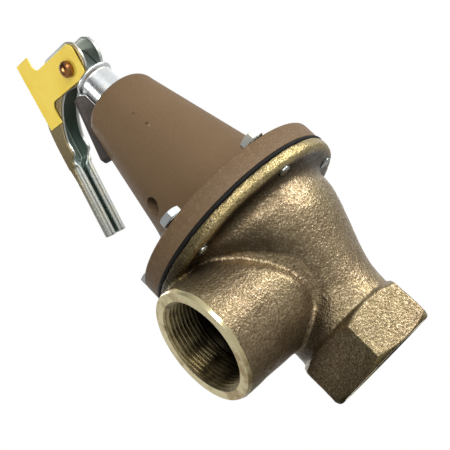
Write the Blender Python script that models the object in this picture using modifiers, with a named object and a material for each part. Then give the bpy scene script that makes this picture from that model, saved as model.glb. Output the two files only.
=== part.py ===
"""Diaphragm pressure relief valve: cast body, spring bonnet and hand test lever.

The origin is the centre of the inlet's end face. The valve's axis is +Z, the
outlet points along +X, and all sizes are metres.
"""
import math

import bmesh
import bpy
from mathutils import Matrix

# Fits
seat_gap = 0.0003          # between two faces that bear on each other
hole_gap = 0.0003          # round a bolt, pin or screw in its hole
slide_gap = 0.0005         # round the stem where it slides
bite = 0.001               # how far a cutter runs past the face it cuts

# Roundness
round_sides = 48           # castings
rim_sides = 36             # cap and diaphragm
small_sides = 24           # turned pieces
bolt_sides = 16
weld_distance = 0.000002
smooth_angle = 35.0        # degrees, sharper edges stay sharp

# Pipe ends, inch-and-a-half female taper pipe thread at both
thread_radius = 0.0236     # bore at the first full thread
thread_length = 0.0200
thread_taper = 1 / 32      # radius lost per length
mouth_flare = 0.00115      # countersink at the face, on the radius
mouth_depth = 0.0012
thread_runout = 0.0026     # cone past the last thread

# Inlet hexagon
hex_wall = 0.0060          # thread bore to flat
hex_height = 0.0246
hex_land = 0.00425         # end face between countersink and chamfer
hex_end_slope = 0.56       # rise of the end chamfer per radius
hex_top_slope = 0.72       # fall of the top chamfer per radius
hex_corner_azimuth = 55.0  # degrees from the outlet

# Body casting
body_height = 0.0966       # inlet end face to flange joint
neck_wall = 0.0048         # thread bore to neck
bell_start = 0.0290        # where the neck starts to swell
bell_radius = 0.0450
body_wall = 0.0052
flange_width = 0.0130      # bell to flange edge
flange_thickness = 0.0060
flange_round = 0.0028      # lower edge
flange_root = 0.0050       # fillet between bell and flange
edge_break = 0.0008
chamber_floor = 0.0340

# Outlet branch
outlet_reach = 0.0660      # valve axis to outlet face
outlet_wall = 0.0067       # thread bore to branch
outlet_cover = 0.0043      # branch top to flange joint
outlet_face_step = 0.0008  # radius lost by the face's chamfer
outlet_chamfer = 0.0020
outlet_passage_radius = 0.0205
outlet_passage_start = 0.0100

# Seat and disc
seat_wall = 0.0084         # seat ring's edge inside the neck's outside
seat_ring_width = 0.0050
seat_lip_step = 0.0028     # lip inside the ring's edge
seat_lip_height = 0.0020
seat_pocket_depth = 0.0037
seat_height = 0.0097
inlet_passage_step = 0.0020  # passage outside the seat's bore
disc_thickness = 0.0040
holder_rim = 0.0027
holder_overlap = 0.0033    # how far the rim comes down over the disc
holder_floor = 0.0045
holder_hub_radius = 0.0085
holder_hub_height = 0.0115
socket_depth = 0.0100      # stem in the holder's hub
disc_screw_radius = 0.0025
disc_screw_head_radius = 0.0058
disc_screw_head_height = 0.0030
disc_screw_grip = 0.0030   # in the holder's floor
disc_washer_radius = 0.0090
disc_washer_thickness = 0.0010

# Diaphragm and its plates
diaphragm_thickness = 0.0020
roll_rise = 0.0022
roll_inset = 0.0005        # roll inside the bonnet's mouth
roll_margin = 0.0020       # roll outside the plates
plate_margin = 0.0120      # plates inside the bonnet's mouth
lower_plate_thickness = 0.0034
upper_plate_thickness = 0.0035
spring_boss_height = 0.0040
spring_boss_gap = 0.0013
stem_nut_flats = 0.0130
stem_nut_height = 0.0060
stem_radius = 0.0040
stem_tip_radius = 0.0028
stem_collar_radius = 0.0070
stem_collar_height = 0.0022

# Spring and adjusting screw
wire_radius = 0.0025
coil_radius = 0.0155
coil_turns = 6.5
coil_points = 10           # per turn
button_inset = 0.0004      # inside the spring's outside
button_thickness = 0.0060
screw_wall = 0.0015
screw_length = 0.0310
screw_stand = 0.0120       # above the bonnet's top
screw_slot_width = 0.0018
screw_slot_depth = 0.0024
ring_nut_wall = 0.0019
ring_nut_height = 0.0036
ring_nut_notch = 0.0016
ring_nut_notch_depth = 0.0012

# Bonnet casting
bonnet_flange_inset = 0.0006
bonnet_flange_thickness = 0.0102
bonnet_height = 0.0980     # joint to crown
bonnet_round = 0.0016      # flange's top edge
bonnet_flare_height = 0.0210
bonnet_flare_reach = 0.0060
bonnet_shoulder = 0.0186   # bolt circle to the cone's base
bonnet_spring_gap = 0.0037  # spring's outside to the cone's top
crown_land = 0.0036        # flat crown outside the cap
crown_round_height = 0.0080
crown_thickness = 0.0095
bonnet_wall = 0.0055
bonnet_mouth_step = 0.0060  # mouth inside the bell
bonnet_mouth_height = 0.0047
vent_radius = 0.0050
vent_azimuth = 5.0
vent_height = 0.0325       # above the joint
lug_azimuth = -34.0
lug_half_width = 0.0036
lug_round = 0.0010
lug_rise = 0.0156          # above the crown
lug_notch = 0.0026         # inner top corner, clear of the cap's rim
lug_top_width = 0.0046
lug_foot_drop = 0.0207     # below the crown
lug_foot_reach = 0.0050    # out from the cone at the foot

# Flange bolts
bolt_count = 6
bolt_radius = 0.003175
bolt_edge = 0.0062         # bolt axis to flange edge
bolt_flats = 0.0111
bolt_head_height = 0.0042
bolt_head_chamfer = 0.55   # fall of the head's top chamfer per radius
bolt_point = 0.0012        # end under the body flange
bolt_first_azimuth = 31.5

# Cap
cap_nut_gap = 0.0004
cap_wall = 0.0012
cap_height = 0.0186        # bonnet crown to the rim's crest
cap_rim_reach = 0.0018     # rim outside the cap's wall
cap_rim_height = 0.0034    # height of the flare
cap_crest_round = 0.0008

# Test lever, in its own plane: along is outwards, up is up, from the pin
lever_azimuth = -80.0
lever_sheet = 0.0022
lever_swing = 80.0         # degrees that the handle lifts
cam_rest_radius = 0.0111   # pin to cap when shut
cam_rise = 0.0021          # lift per radian
cam_overrun = 20.0         # degrees of cam past the swing
ear_top_inner = (-0.0108, 0.0092)
ear_top_outer = (0.0112, 0.0194)
ear_back = (0.0168, 0.0184)
ear_round = 0.0040
web_inner_start = 0.0170
arm_back = ((0.0280, 0.0165), (0.0400, 0.0115), (0.0495, 0.0045), (0.0565, -0.0055))
arm_front = ((0.0475, -0.0130), (0.0440, -0.0095), (0.0395, -0.0062), (0.0340, -0.0035),
             (0.0290, -0.0016), (0.0240, -0.0009), (0.0190, -0.0010), (0.0130, -0.0040),
             (0.0060, -0.0088))
knuckle = (0.0505, -0.0195)
handle_fall = 61.7         # degrees below level
handle_start = 0.0478
handle_end = 0.0938
handle_front = 0.0393
handle_depth = 0.0077
handle_slot = 0.0036

# Lever pin, eye and tag
pin_radius = 0.0030
pin_head_radius = 0.0048
pin_head_height = 0.0036
pin_shoulder_radius = 0.0042
pin_shoulder_height = 0.0014  # under the head
pin_tail_radius = 0.0044
pin_tail_height = 0.0020
pin_washer_radius = 0.0060
pin_washer_thickness = 0.0010
eye_depth = 0.0110
eye_rise = 0.0068          # above the pin
eye_grip = 0.0040          # stem in the eye
eye_wall = 0.0012
tag_thickness = 0.0008
tag_tilt = 25.5
tag_bar_inner = 0.0305
tag_bar_outer = 0.0438
tag_bar_half = 0.0209
tag_stem_top = 0.0110
tag_stem_bottom = -0.0087
tag_stem_end = -0.0108
tag_round = 0.0048

# Radii, each from what it fits
mouth_radius = thread_radius + mouth_flare
thread_end_radius = thread_radius - thread_taper * thread_length
hex_end_radius = mouth_radius + hex_land
hex_flat_radius = thread_radius + hex_wall
hex_corner_radius = hex_flat_radius / math.cos(math.pi / 6)
neck_radius = thread_radius + neck_wall
outlet_radius = thread_radius + outlet_wall
flange_radius = bell_radius + flange_width
bolt_circle = flange_radius - bolt_edge
seat_radius = neck_radius - seat_wall
seat_bore_radius = seat_radius - seat_ring_width
inlet_passage_radius = seat_bore_radius + inlet_passage_step
disc_radius = seat_radius - seat_lip_step
bonnet_mouth_radius = bell_radius - bonnet_mouth_step
plate_radius = bonnet_mouth_radius - plate_margin
roll_start = plate_radius + roll_margin
roll_end = bonnet_mouth_radius - roll_inset
spring_boss_radius = coil_radius - wire_radius - spring_boss_gap
button_radius = coil_radius + wire_radius - button_inset
cone_base_radius = bolt_circle - bonnet_shoulder
cone_top_radius = coil_radius + wire_radius + bonnet_spring_gap
screw_radius = stem_radius + slide_gap + screw_wall
ring_nut_radius = screw_radius + hole_gap + ring_nut_wall
cap_radius = ring_nut_radius + cap_nut_gap + cap_wall
cap_rim_radius = cap_radius + cap_rim_reach
crown_flat_radius = cap_radius + crown_land
eye_half_width = stem_tip_radius + hole_gap + eye_wall
ear_gap_half = eye_half_width + seat_gap
lever_half_width = ear_gap_half + lever_sheet

# Levels up the axis, each built on the one below
outlet_level = body_height - outlet_cover - outlet_radius
flange_under = body_height - flange_thickness
bell_end = flange_under - flange_root
seat_bottom = chamber_floor - seat_pocket_depth + seat_gap
seat_top = seat_bottom + seat_height
disc_bottom = seat_top + seat_gap
disc_top = disc_bottom + disc_thickness
holder_bottom = disc_top - holder_overlap
holder_floor_level = disc_top + seat_gap
holder_top = holder_floor_level + holder_floor + holder_hub_height
diaphragm_bottom = body_height + seat_gap
diaphragm_top = diaphragm_bottom + diaphragm_thickness
lower_plate_top = diaphragm_bottom - seat_gap
lower_plate_bottom = lower_plate_top - lower_plate_thickness
upper_plate_bottom = diaphragm_top + seat_gap
upper_plate_top = upper_plate_bottom + upper_plate_thickness
joint_level = diaphragm_top + seat_gap
bonnet_flange_top = joint_level + bonnet_flange_thickness
cone_base = bonnet_flange_top + bonnet_flare_height
crown_level = joint_level + bonnet_height
cone_top = crown_level - crown_round_height
ceiling_level = crown_level - crown_thickness
screw_top = crown_level + screw_stand
screw_bottom = screw_top - screw_length
button_top = screw_bottom - seat_gap
button_bottom = button_top - button_thickness
spring_bottom = upper_plate_top + seat_gap
spring_top = button_bottom - seat_gap
cap_bottom = crown_level + seat_gap
cap_crest = crown_level + cap_height
pin_level = cap_crest + seat_gap + cam_rest_radius
eye_bottom = cap_crest + 2 * seat_gap
stem_bottom = holder_top - socket_depth + seat_gap
stem_top = eye_bottom + eye_grip
cone_slope = (cone_base_radius - cone_top_radius) / (cone_top - cone_base)


def cone_radius(level):
    """Outside radius of the bonnet's cone at a level."""
    return cone_base_radius - cone_slope * (level - cone_base)


def bell_profile_radius(level):
    """Outside radius of the body where the neck swells into the bell."""
    share = (level - bell_start) / (bell_end - bell_start)
    share = min(max(share, 0.0), 1.0)
    return neck_radius + (bell_radius - neck_radius) * share * share * (3 - 2 * share)


def start_empty():
    """Remove what the scene holds, and make the two collections."""
    for thing in list(bpy.data.objects):
        bpy.data.objects.remove(thing, do_unlink=True)
    for name in ("Pressure relief valve", "Cutters"):
        collection = bpy.data.collections.new(name)
        bpy.context.scene.collection.children.link(collection)
        collections[name] = collection


def make_material(name, colour, roughness, metallic):
    """A Principled material with the piece's colour and finish."""
    material = bpy.data.materials.new(name)
    material.use_nodes = True
    shader = material.node_tree.nodes["Principled BSDF"]
    shader.inputs["Base Color"].default_value = (*colour, 1.0)
    shader.inputs["Roughness"].default_value = roughness
    shader.inputs["Metallic"].default_value = metallic
    return material


def evaluated_mesh(thing):
    """The mesh of an object with its modifiers or bevel."""
    bpy.context.view_layer.update()
    graph = bpy.context.evaluated_depsgraph_get()
    return bpy.data.meshes.new_from_object(thing.evaluated_get(graph))


def tidy(mesh):
    """Weld coincident points and turn every face outwards."""
    shape = bmesh.new()
    shape.from_mesh(mesh)
    bmesh.ops.remove_doubles(shape, verts=shape.verts, dist=weld_distance)
    bmesh.ops.dissolve_degenerate(shape, edges=shape.edges, dist=weld_distance / 2)
    bmesh.ops.recalc_face_normals(shape, faces=shape.faces)
    if shape.calc_volume(signed=True) < 0:
        bmesh.ops.reverse_faces(shape, faces=shape.faces)
    shape.to_mesh(mesh)
    shape.free()
    return mesh


def turned(profile, sides):
    """Turn a profile of (radius, level) points about Z; it runs down its outer side."""
    open_ended = profile[0][0] == 0 and profile[-1][0] == 0
    points = [(radius, 0.0, level) for radius, level in profile]
    edges = [(i, i + 1) for i in range(len(points) - 1)]
    if not open_ended:
        edges.append((len(points) - 1, 0))
    guide = bpy.data.meshes.new("profile")
    guide.from_pydata(points, edges, [])
    thing = bpy.data.objects.new("profile", guide)
    bpy.context.scene.collection.objects.link(thing)
    screw = thing.modifiers.new("Turn", "SCREW")
    screw.steps = sides
    screw.render_steps = sides
    screw.use_merge_vertices = True
    screw.merge_threshold = weld_distance
    mesh = evaluated_mesh(thing)
    bpy.data.objects.remove(thing, do_unlink=True)
    return tidy(mesh)


def prism(outline, half_width):
    """Extrude an outline of (along, up) points to both sides of the XZ plane."""
    curve = bpy.data.curves.new("outline", "CURVE")
    curve.dimensions = "2D"
    curve.fill_mode = "BOTH"
    curve.extrude = half_width
    spline = curve.splines.new("POLY")
    spline.points.add(len(outline) - 1)
    for point, (along, up) in zip(spline.points, outline):
        point.co = (along, up, 0.0, 1.0)
    spline.use_cyclic_u = True
    thing = bpy.data.objects.new("outline", curve)
    bpy.context.scene.collection.objects.link(thing)
    mesh = evaluated_mesh(thing)
    bpy.data.objects.remove(thing, do_unlink=True)
    mesh.transform(Matrix.Rotation(math.pi / 2, 4, "X"))
    return tidy(mesh)


def cylinder(radius, bottom, top, sides, turn=0.0):
    """A closed cylinder up Z, or with few sides a prism with a corner at azimuth turn."""
    shape = bmesh.new()
    place = Matrix.Translation((0, 0, (bottom + top) / 2)) @ about_z(turn - 90)
    bmesh.ops.create_cone(shape, cap_ends=True, segments=sides, radius1=radius, radius2=radius,
                          depth=top - bottom, matrix=place)
    mesh = bpy.data.meshes.new("cylinder")
    shape.to_mesh(mesh)
    shape.free()
    return mesh


def block(width, depth, bottom, top):
    """A box centred on Z."""
    shape = bmesh.new()
    place = Matrix.Translation((0, 0, (bottom + top) / 2)) @ Matrix.Diagonal((width, depth, top - bottom, 1))
    bmesh.ops.create_cube(shape, size=1.0, matrix=place)
    mesh = bpy.data.meshes.new("block")
    shape.to_mesh(mesh)
    shape.free()
    return mesh


def joined(meshes):
    """Several meshes as one cutter mesh."""
    shape = bmesh.new()
    for mesh in meshes:
        shape.from_mesh(mesh)
    result = bpy.data.meshes.new("joined")
    shape.to_mesh(result)
    shape.free()
    return result


def moved(mesh, *steps):
    """Apply placements to a mesh, the first one first."""
    for step in steps:
        mesh.transform(step)
    return mesh


def part(name, mesh, material, parent=None):
    """A named piece in the valve's collection."""
    thing = bpy.data.objects.new(name, mesh)
    mesh.name = name
    mesh.materials.clear()
    mesh.materials.append(material)
    collections["Pressure relief valve"].objects.link(thing)
    thing.parent = parent
    pieces.append(thing)
    return thing


def boolean(thing, operation, mesh, label):
    """Join, cut or keep the common part with a hidden shape in the cutters' collection."""
    tool = bpy.data.objects.new(thing.name + "_" + label, mesh)
    tool.parent = thing.parent
    tool.hide_render = True
    tool.display_type = "WIRE"
    collections["Cutters"].objects.link(tool)
    step = thing.modifiers.new(label, "BOOLEAN")
    step.operation = operation
    step.object = tool
    step.solver = "EXACT"


def settle(thing):
    """Fix a piece's modifiers into its mesh and shade its round faces smooth."""
    if thing.modifiers:
        mesh = tidy(evaluated_mesh(thing))
        thing.modifiers.clear()
        mesh.name = thing.name
        thing.data = mesh
    thing.data.shade_smooth()
    thing.data.set_sharp_from_angle(angle=math.radians(smooth_angle))


def about_z(degrees):
    """A turn about the valve's axis."""
    return Matrix.Rotation(math.radians(degrees), 4, "Z")


def rounded(corners, steps=5):
    """An outline with each (along, up, radius) corner rounded by an arc."""
    outline = []
    count = len(corners)
    for i, (x, y, radius) in enumerate(corners):
        if radius == 0:
            outline.append((x, y))
            continue
        before = corners[i - 1]
        after = corners[(i + 1) % count]
        to_before = math.atan2(before[1] - y, before[0] - x)
        to_after = math.atan2(after[1] - y, after[0] - x)
        opening = (to_after - to_before + math.pi) % (2 * math.pi) - math.pi
        half = abs(opening) / 2
        middle = to_before + opening / 2
        centre_x = x + math.cos(middle) * radius / math.sin(half)
        centre_y = y + math.sin(middle) * radius / math.sin(half)
        sweep = (math.pi - 2 * half) * (-1 if opening > 0 else 1)
        first = middle + math.pi - sweep / 2
        for step in range(steps + 1):
            angle = first + sweep * step / steps
            outline.append((centre_x + radius * math.cos(angle), centre_y + radius * math.sin(angle)))
    return outline


def quarter(centre_radius, centre_level, reach, rise, start, end, steps):
    """Points on an elliptic arc of a profile, with angles in degrees from outwards."""
    points = []
    for step in range(steps + 1):
        angle = math.radians(start + (end - start) * step / steps)
        points.append((centre_radius + reach * math.cos(angle), centre_level + rise * math.sin(angle)))
    return points


def bolt_azimuths():
    """Azimuth of each flange bolt."""
    return [bolt_first_azimuth + 360 * i / bolt_count for i in range(bolt_count)]


def bolt_holes(bottom, top):
    """Cutters for the ring of bolt holes."""
    holes = []
    for azimuth in bolt_azimuths():
        hole = cylinder(bolt_radius + hole_gap, bottom, top, bolt_sides)
        holes.append(moved(hole, Matrix.Translation((bolt_circle, 0, 0)), about_z(azimuth)))
    return joined(holes)


def to_outlet(mesh):
    """Lay a shape turned about Z along the outlet's axis."""
    return moved(mesh, Matrix.Rotation(math.pi / 2, 4, "Y"), Matrix.Translation((0, 0, outlet_level)))


def build_body(bronze):
    """The body casting: hexagon, neck, bell, flange and outlet branch, bored through."""
    outside = [(0, body_height), (flange_radius - edge_break, body_height),
               (flange_radius, body_height - edge_break)]
    outside += quarter(flange_radius - flange_round, flange_under + flange_round,
                       flange_round, flange_round, 0, -90, 3)
    outside += quarter(bell_radius + flange_root, bell_end, flange_root, flange_root, 90, 180, 3)
    steps = 11
    for step in range(1, steps + 1):
        level = bell_end + (bell_start - bell_end) * step / steps
        outside.append((bell_profile_radius(level), level))
    foot = hex_height - hex_top_slope * (hex_corner_radius - hex_flat_radius)
    outside += [(neck_radius, foot), (0, foot)]
    body = part("valve_body", turned(outside, round_sides), bronze)

    chamfer_reach = hex_corner_radius + edge_break
    barrel = [(0, hex_height), (hex_flat_radius, hex_height),
              (chamfer_reach, hex_height - hex_top_slope * (chamfer_reach - hex_flat_radius)),
              (chamfer_reach, hex_end_slope * (chamfer_reach - hex_end_radius)),
              (hex_end_radius, 0), (0, 0)]
    hexagon = part("inlet_hexagon", cylinder(hex_corner_radius, 0, hex_height, 6, hex_corner_azimuth), bronze)
    boolean(hexagon, "INTERSECT", turned(barrel, round_sides), "chamfers")
    hexagon_mesh = tidy(evaluated_mesh(hexagon))
    pieces.remove(hexagon)
    bpy.data.objects.remove(hexagon, do_unlink=True)
    boolean(body, "UNION", hexagon_mesh, "hexagon")

    branch = [(0, outlet_reach), (outlet_radius - outlet_face_step, outlet_reach),
              (outlet_radius, outlet_reach - outlet_chamfer), (outlet_radius, 0), (0, 0)]
    boolean(body, "UNION", to_outlet(turned(branch, round_sides)), "branch")

    inside = [(0, body_height + bite), (bell_radius - body_wall, body_height + bite)]
    steps = 7
    for step in range(steps + 1):
        level = bell_end + (chamber_floor - bell_end) * step / steps
        inside.append((bell_profile_radius(level) - body_wall, level))
    inside += [(seat_radius + hole_gap, chamber_floor),
               (seat_radius + hole_gap, chamber_floor - seat_pocket_depth),
               (inlet_passage_radius, chamber_floor - seat_pocket_depth),
               (inlet_passage_radius, thread_length + thread_runout),
               (thread_end_radius, thread_length), (thread_radius, mouth_depth),
               (mouth_radius, 0), (mouth_radius, -bite), (0, -bite)]
    boolean(body, "DIFFERENCE", turned(inside, round_sides), "waterway")

    bore = [(0, outlet_reach + bite), (mouth_radius, outlet_reach + bite), (mouth_radius, outlet_reach),
            (thread_radius, outlet_reach - mouth_depth),
            (thread_end_radius, outlet_reach - thread_length),
            (outlet_passage_radius, outlet_reach - thread_length - thread_runout),
            (outlet_passage_radius, outlet_passage_start), (0, outlet_passage_start)]
    boolean(body, "DIFFERENCE", to_outlet(turned(bore, round_sides)), "outlet_bore")
    boolean(body, "DIFFERENCE", bolt_holes(flange_under - bite, body_height + bite), "bolt_holes")


def build_seat_and_disc(brass, rubber, steel):
    """The seat ring and the disc that shuts it, with the disc's holder and screw."""
    lip_start = seat_top - seat_lip_height
    ring = [(disc_radius, seat_top), (disc_radius, lip_start), (seat_radius, lip_start),
            (seat_radius, seat_bottom), (seat_bore_radius, seat_bottom), (seat_bore_radius, seat_top)]
    part("seat_ring", turned(ring, small_sides), brass)

    screw_hole = disc_screw_radius + hole_gap
    disc = [(disc_radius, disc_top), (disc_radius, disc_bottom),
            (screw_hole, disc_bottom), (screw_hole, disc_top)]
    part("seat_disc", turned(disc, small_sides), rubber)

    rim_inside = disc_radius + hole_gap
    hub_floor = holder_floor_level + holder_floor
    socket_floor = holder_top - socket_depth
    holder = [(stem_radius + hole_gap, holder_top), (holder_hub_radius, holder_top),
              (holder_hub_radius, hub_floor), (rim_inside + holder_rim, hub_floor),
              (rim_inside + holder_rim, holder_bottom), (rim_inside, holder_bottom),
              (rim_inside, holder_floor_level), (screw_hole, holder_floor_level),
              (screw_hole, socket_floor), (stem_radius + hole_gap, socket_floor)]
    part("disc_holder", turned(holder, small_sides), brass)

    washer_top = disc_bottom - seat_gap
    washer_bottom = washer_top - disc_washer_thickness
    washer = [(disc_washer_radius, washer_top), (disc_washer_radius, washer_bottom),
              (screw_hole, washer_bottom), (screw_hole, washer_top)]
    part("disc_washer", turned(washer, small_sides), steel)

    head_top = washer_bottom - seat_gap
    screw_end = holder_floor_level + disc_screw_grip
    screw = [(0, screw_end), (disc_screw_radius, screw_end), (disc_screw_radius, head_top),
             (disc_screw_head_radius, head_top),
             (disc_screw_head_radius, head_top - disc_screw_head_height / 2),
             (disc_screw_head_radius / 2, head_top - disc_screw_head_height),
             (0, head_top - disc_screw_head_height)]
    part("disc_screw", turned(screw, bolt_sides), steel)


def build_diaphragm(brass, rubber, steel):
    """The diaphragm, the plates that grip it, and the stem that carries them."""
    hole = stem_radius + hole_gap
    span = (roll_end - roll_start) / 2
    middle = (roll_end + roll_start) / 2
    upper = quarter(middle, diaphragm_top, span, roll_rise, 180, 0, 6)
    lower = quarter(middle, diaphragm_bottom, span, roll_rise, 0, 180, 6)
    profile = [(hole, diaphragm_top)] + upper + [(flange_radius, diaphragm_top)]
    profile += [(flange_radius, diaphragm_bottom)] + lower + [(hole, diaphragm_bottom)]
    sheet = part("diaphragm", turned(profile, rim_sides), rubber)
    boolean(sheet, "DIFFERENCE", bolt_holes(diaphragm_bottom - bite, diaphragm_top + bite), "bolt_holes")

    plate = [(plate_radius, lower_plate_top), (plate_radius, lower_plate_bottom),
             (hole, lower_plate_bottom), (hole, lower_plate_top)]
    part("lower_diaphragm_plate", turned(plate, small_sides), brass)

    boss_top = upper_plate_top + spring_boss_height
    button = [(hole, boss_top), (spring_boss_radius, boss_top), (spring_boss_radius, upper_plate_top),
              (plate_radius, upper_plate_top), (plate_radius, upper_plate_bottom), (hole, upper_plate_bottom)]
    part("upper_diaphragm_plate", turned(button, small_sides), steel)

    nut_bottom = boss_top + seat_gap
    nut = part("stem_nut", cylinder(stem_nut_flats / 2 / math.cos(math.pi / 6), nut_bottom,
                                    nut_bottom + stem_nut_height, 6), steel)
    boolean(nut, "DIFFERENCE", cylinder(hole, nut_bottom - bite, nut_bottom + stem_nut_height + bite,
                                        bolt_sides), "thread")

    collar_top = lower_plate_bottom - seat_gap
    tip_level = eye_bottom - seat_gap
    stem = [(0, stem_top), (stem_tip_radius, stem_top), (stem_tip_radius, tip_level),
            (stem_radius, tip_level), (stem_radius, collar_top),
            (stem_collar_radius, collar_top), (stem_collar_radius, collar_top - stem_collar_height),
            (stem_radius, collar_top - stem_collar_height), (stem_radius, stem_bottom), (0, stem_bottom)]
    part("stem", turned(stem, bolt_sides), steel)


def build_spring(steel, brass):
    """The coil spring, its upper button, and the screw that sets its load."""
    low = spring_bottom + wire_radius
    high = spring_top - wire_radius
    count = int(coil_turns * coil_points) + 1
    curve = bpy.data.curves.new("spring", "CURVE")
    curve.dimensions = "3D"
    curve.bevel_depth = wire_radius
    curve.bevel_resolution = 1
    curve.use_fill_caps = True
    spline = curve.splines.new("POLY")
    spline.points.add(count - 1)
    route = []
    for i, point in enumerate(spline.points):
        angle = 2 * math.pi * i / coil_points
        level = low + (high - low) * i / (count - 1)
        place = (coil_radius * math.cos(angle), coil_radius * math.sin(angle), level)
        route.append(place)
        point.co = (*place, 1.0)
    wire = bpy.data.objects.new("spring_wire", curve)
    bpy.context.scene.collection.objects.link(wire)
    mesh = evaluated_mesh(wire)
    bpy.data.objects.remove(wire, do_unlink=True)
    part("spring", tidy(mesh), steel)
    half_turn = coil_points // 2
    least = min(math.dist(route[i], route[j]) for i in range(count) for j in range(i + half_turn, count))
    print("spring: least gap between turns", round((least - 2 * wire_radius) * 1000, 2), "mm")

    hole = stem_radius + slide_gap
    boss_bottom = button_bottom - spring_boss_height
    button = [(button_radius, button_top), (button_radius, button_bottom),
              (spring_boss_radius, button_bottom), (spring_boss_radius, boss_bottom),
              (hole, boss_bottom), (hole, button_top)]
    part("upper_spring_button", turned(button, small_sides), steel)

    tube = [(screw_radius, screw_top), (screw_radius, screw_bottom), (hole, screw_bottom), (hole, screw_top)]
    screw = part("adjusting_screw", turned(tube, small_sides), brass)
    boolean(screw, "DIFFERENCE", block(screw_slot_width, 4 * screw_radius, screw_top - screw_slot_depth,
                                       screw_top + bite), "slot")

    nut_bottom = crown_level + seat_gap
    nut_top = nut_bottom + ring_nut_height
    nut_bore = screw_radius + hole_gap
    ring = [(ring_nut_radius, nut_top), (ring_nut_radius, nut_bottom),
            (nut_bore, nut_bottom), (nut_bore, nut_top)]
    nut = part("ring_nut", turned(ring, small_sides), steel)
    notch_floor = nut_top - ring_nut_notch_depth
    notches = [block(ring_nut_notch, 4 * ring_nut_radius, notch_floor, nut_top + bite),
               block(4 * ring_nut_radius, ring_nut_notch, notch_floor, nut_top + bite)]
    for mesh, label in zip(notches, ("notch_a", "notch_b")):
        boolean(nut, "DIFFERENCE", mesh, label)


def build_bonnet(iron):
    """The bonnet casting with its flange, cone, vent hole and lug."""
    radius = flange_radius - bonnet_flange_inset
    outside = [(0, crown_level)]
    outside += quarter(crown_flat_radius, cone_top, cone_top_radius - crown_flat_radius,
                       crown_round_height, 90, 0, 7)
    steps = 6
    for step in range(steps + 1):
        angle = math.radians(90 * step / steps)
        level = cone_base - bonnet_flare_height * math.sin(angle)
        outside.append((cone_radius(level) + bonnet_flare_reach * (1 - math.cos(angle)), level))
    outside += quarter(radius - bonnet_round, bonnet_flange_top - bonnet_round,
                       bonnet_round, bonnet_round, 90, 0, 3)
    outside += [(radius, joint_level), (0, joint_level)]
    bonnet = part("bonnet", turned(outside, round_sides), iron)

    foot_level = crown_level - lug_foot_drop
    lug_inner = cap_radius + seat_gap
    lug_top = crown_level + lug_rise
    lug_notched = lug_inner + lug_notch
    lug_foot = cone_radius(foot_level) + lug_foot_reach
    sink = bonnet_wall / 2
    lug = rounded([(lug_inner, ceiling_level, 0), (lug_inner, lug_top - lug_notch, 0),
                   (lug_notched, lug_top, 0), (lug_notched + lug_top_width, lug_top, lug_round),
                   (lug_foot, foot_level, lug_round),
                   (cone_radius(foot_level) - sink, foot_level - sink, 0)])
    boolean(bonnet, "UNION", moved(prism(lug, lug_half_width), about_z(lug_azimuth)), "lug")

    mouth_top = joint_level + bonnet_mouth_height
    shoulder = mouth_top + bonnet_wall / 2
    spring_shoulder = ceiling_level - bonnet_wall / 2
    inside = [(0, ceiling_level), (crown_flat_radius, ceiling_level),
              (cone_radius(spring_shoulder) - bonnet_wall, spring_shoulder),
              (cone_radius(shoulder) - bonnet_wall, shoulder), (bonnet_mouth_radius, mouth_top),
              (bonnet_mouth_radius, joint_level - bite), (0, joint_level - bite)]
    boolean(bonnet, "DIFFERENCE", turned(inside, round_sides), "spring_chamber")
    boolean(bonnet, "DIFFERENCE", cylinder(screw_radius + hole_gap, ceiling_level - bite, crown_level + bite,
                                           small_sides), "screw_thread")
    boolean(bonnet, "DIFFERENCE", bolt_holes(joint_level - bite, bonnet_flange_top + bite), "bolt_holes")
    vent_level = joint_level + vent_height
    vent_mouth = cone_radius(vent_level)
    vent = cylinder(vent_radius, vent_mouth - 2 * bonnet_wall, vent_mouth + bonnet_wall, bolt_sides)
    outwards = Matrix.Rotation(math.pi / 2, 4, "Y")
    to_vent = about_z(vent_azimuth) @ Matrix.Translation((0, 0, vent_level)) @ outwards
    boolean(bonnet, "DIFFERENCE", moved(vent, to_vent), "vent")


def build_bolts(steel):
    """The ring of flange bolts, heads up, with points under the body flange."""
    seat = bonnet_flange_top + seat_gap
    top = seat + bolt_head_height
    corner = bolt_flats / 2 / math.cos(math.pi / 6)
    reach = corner + edge_break
    crown = [(0, top), (bolt_flats / 2, top), (reach, top - bolt_head_chamfer * (reach - bolt_flats / 2)),
             (reach, seat - bite), (0, seat - bite)]
    shank = [(0, seat + bolt_head_height / 2), (bolt_radius, seat + bolt_head_height / 2),
             (bolt_radius, flange_under - bolt_point / 2), (bolt_radius / 2, flange_under - bolt_point),
             (0, flange_under - bolt_point)]
    for i, azimuth in enumerate(bolt_azimuths()):
        place = about_z(azimuth) @ Matrix.Translation((bolt_circle, 0, 0))
        bolt = part("flange_bolt_" + str(i + 1), moved(cylinder(corner, seat, top, 6, 30), place), steel)
        boolean(bolt, "INTERSECT", moved(turned(crown, small_sides), place), "chamfer")
        boolean(bolt, "UNION", moved(turned(shank, bolt_sides), place), "shank")


def build_cap(plated):
    """The pressed cap over the adjusting screw, with its flared rim."""
    flare = cap_crest - cap_rim_height
    inner = cap_radius - cap_wall
    hole = stem_radius + slide_gap
    profile = [(hole, cap_crest), (cap_rim_radius - cap_crest_round, cap_crest),
               (cap_rim_radius, cap_crest - cap_crest_round),
               (cap_rim_radius, cap_crest - cap_rim_height / 2),
               (cap_radius, flare), (cap_radius, cap_bottom), (inner, cap_bottom),
               (inner, cap_crest - cap_wall), (hole, cap_crest - cap_wall)]
    part("cap", turned(profile, rim_sides), plated)


def handle_point(along, across):
    """A point of the handle, from distances along it and out from its front."""
    fall = math.radians(handle_fall)
    return (along * math.cos(fall) + across * math.sin(fall),
            across * math.cos(fall) - along * math.sin(fall))


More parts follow.
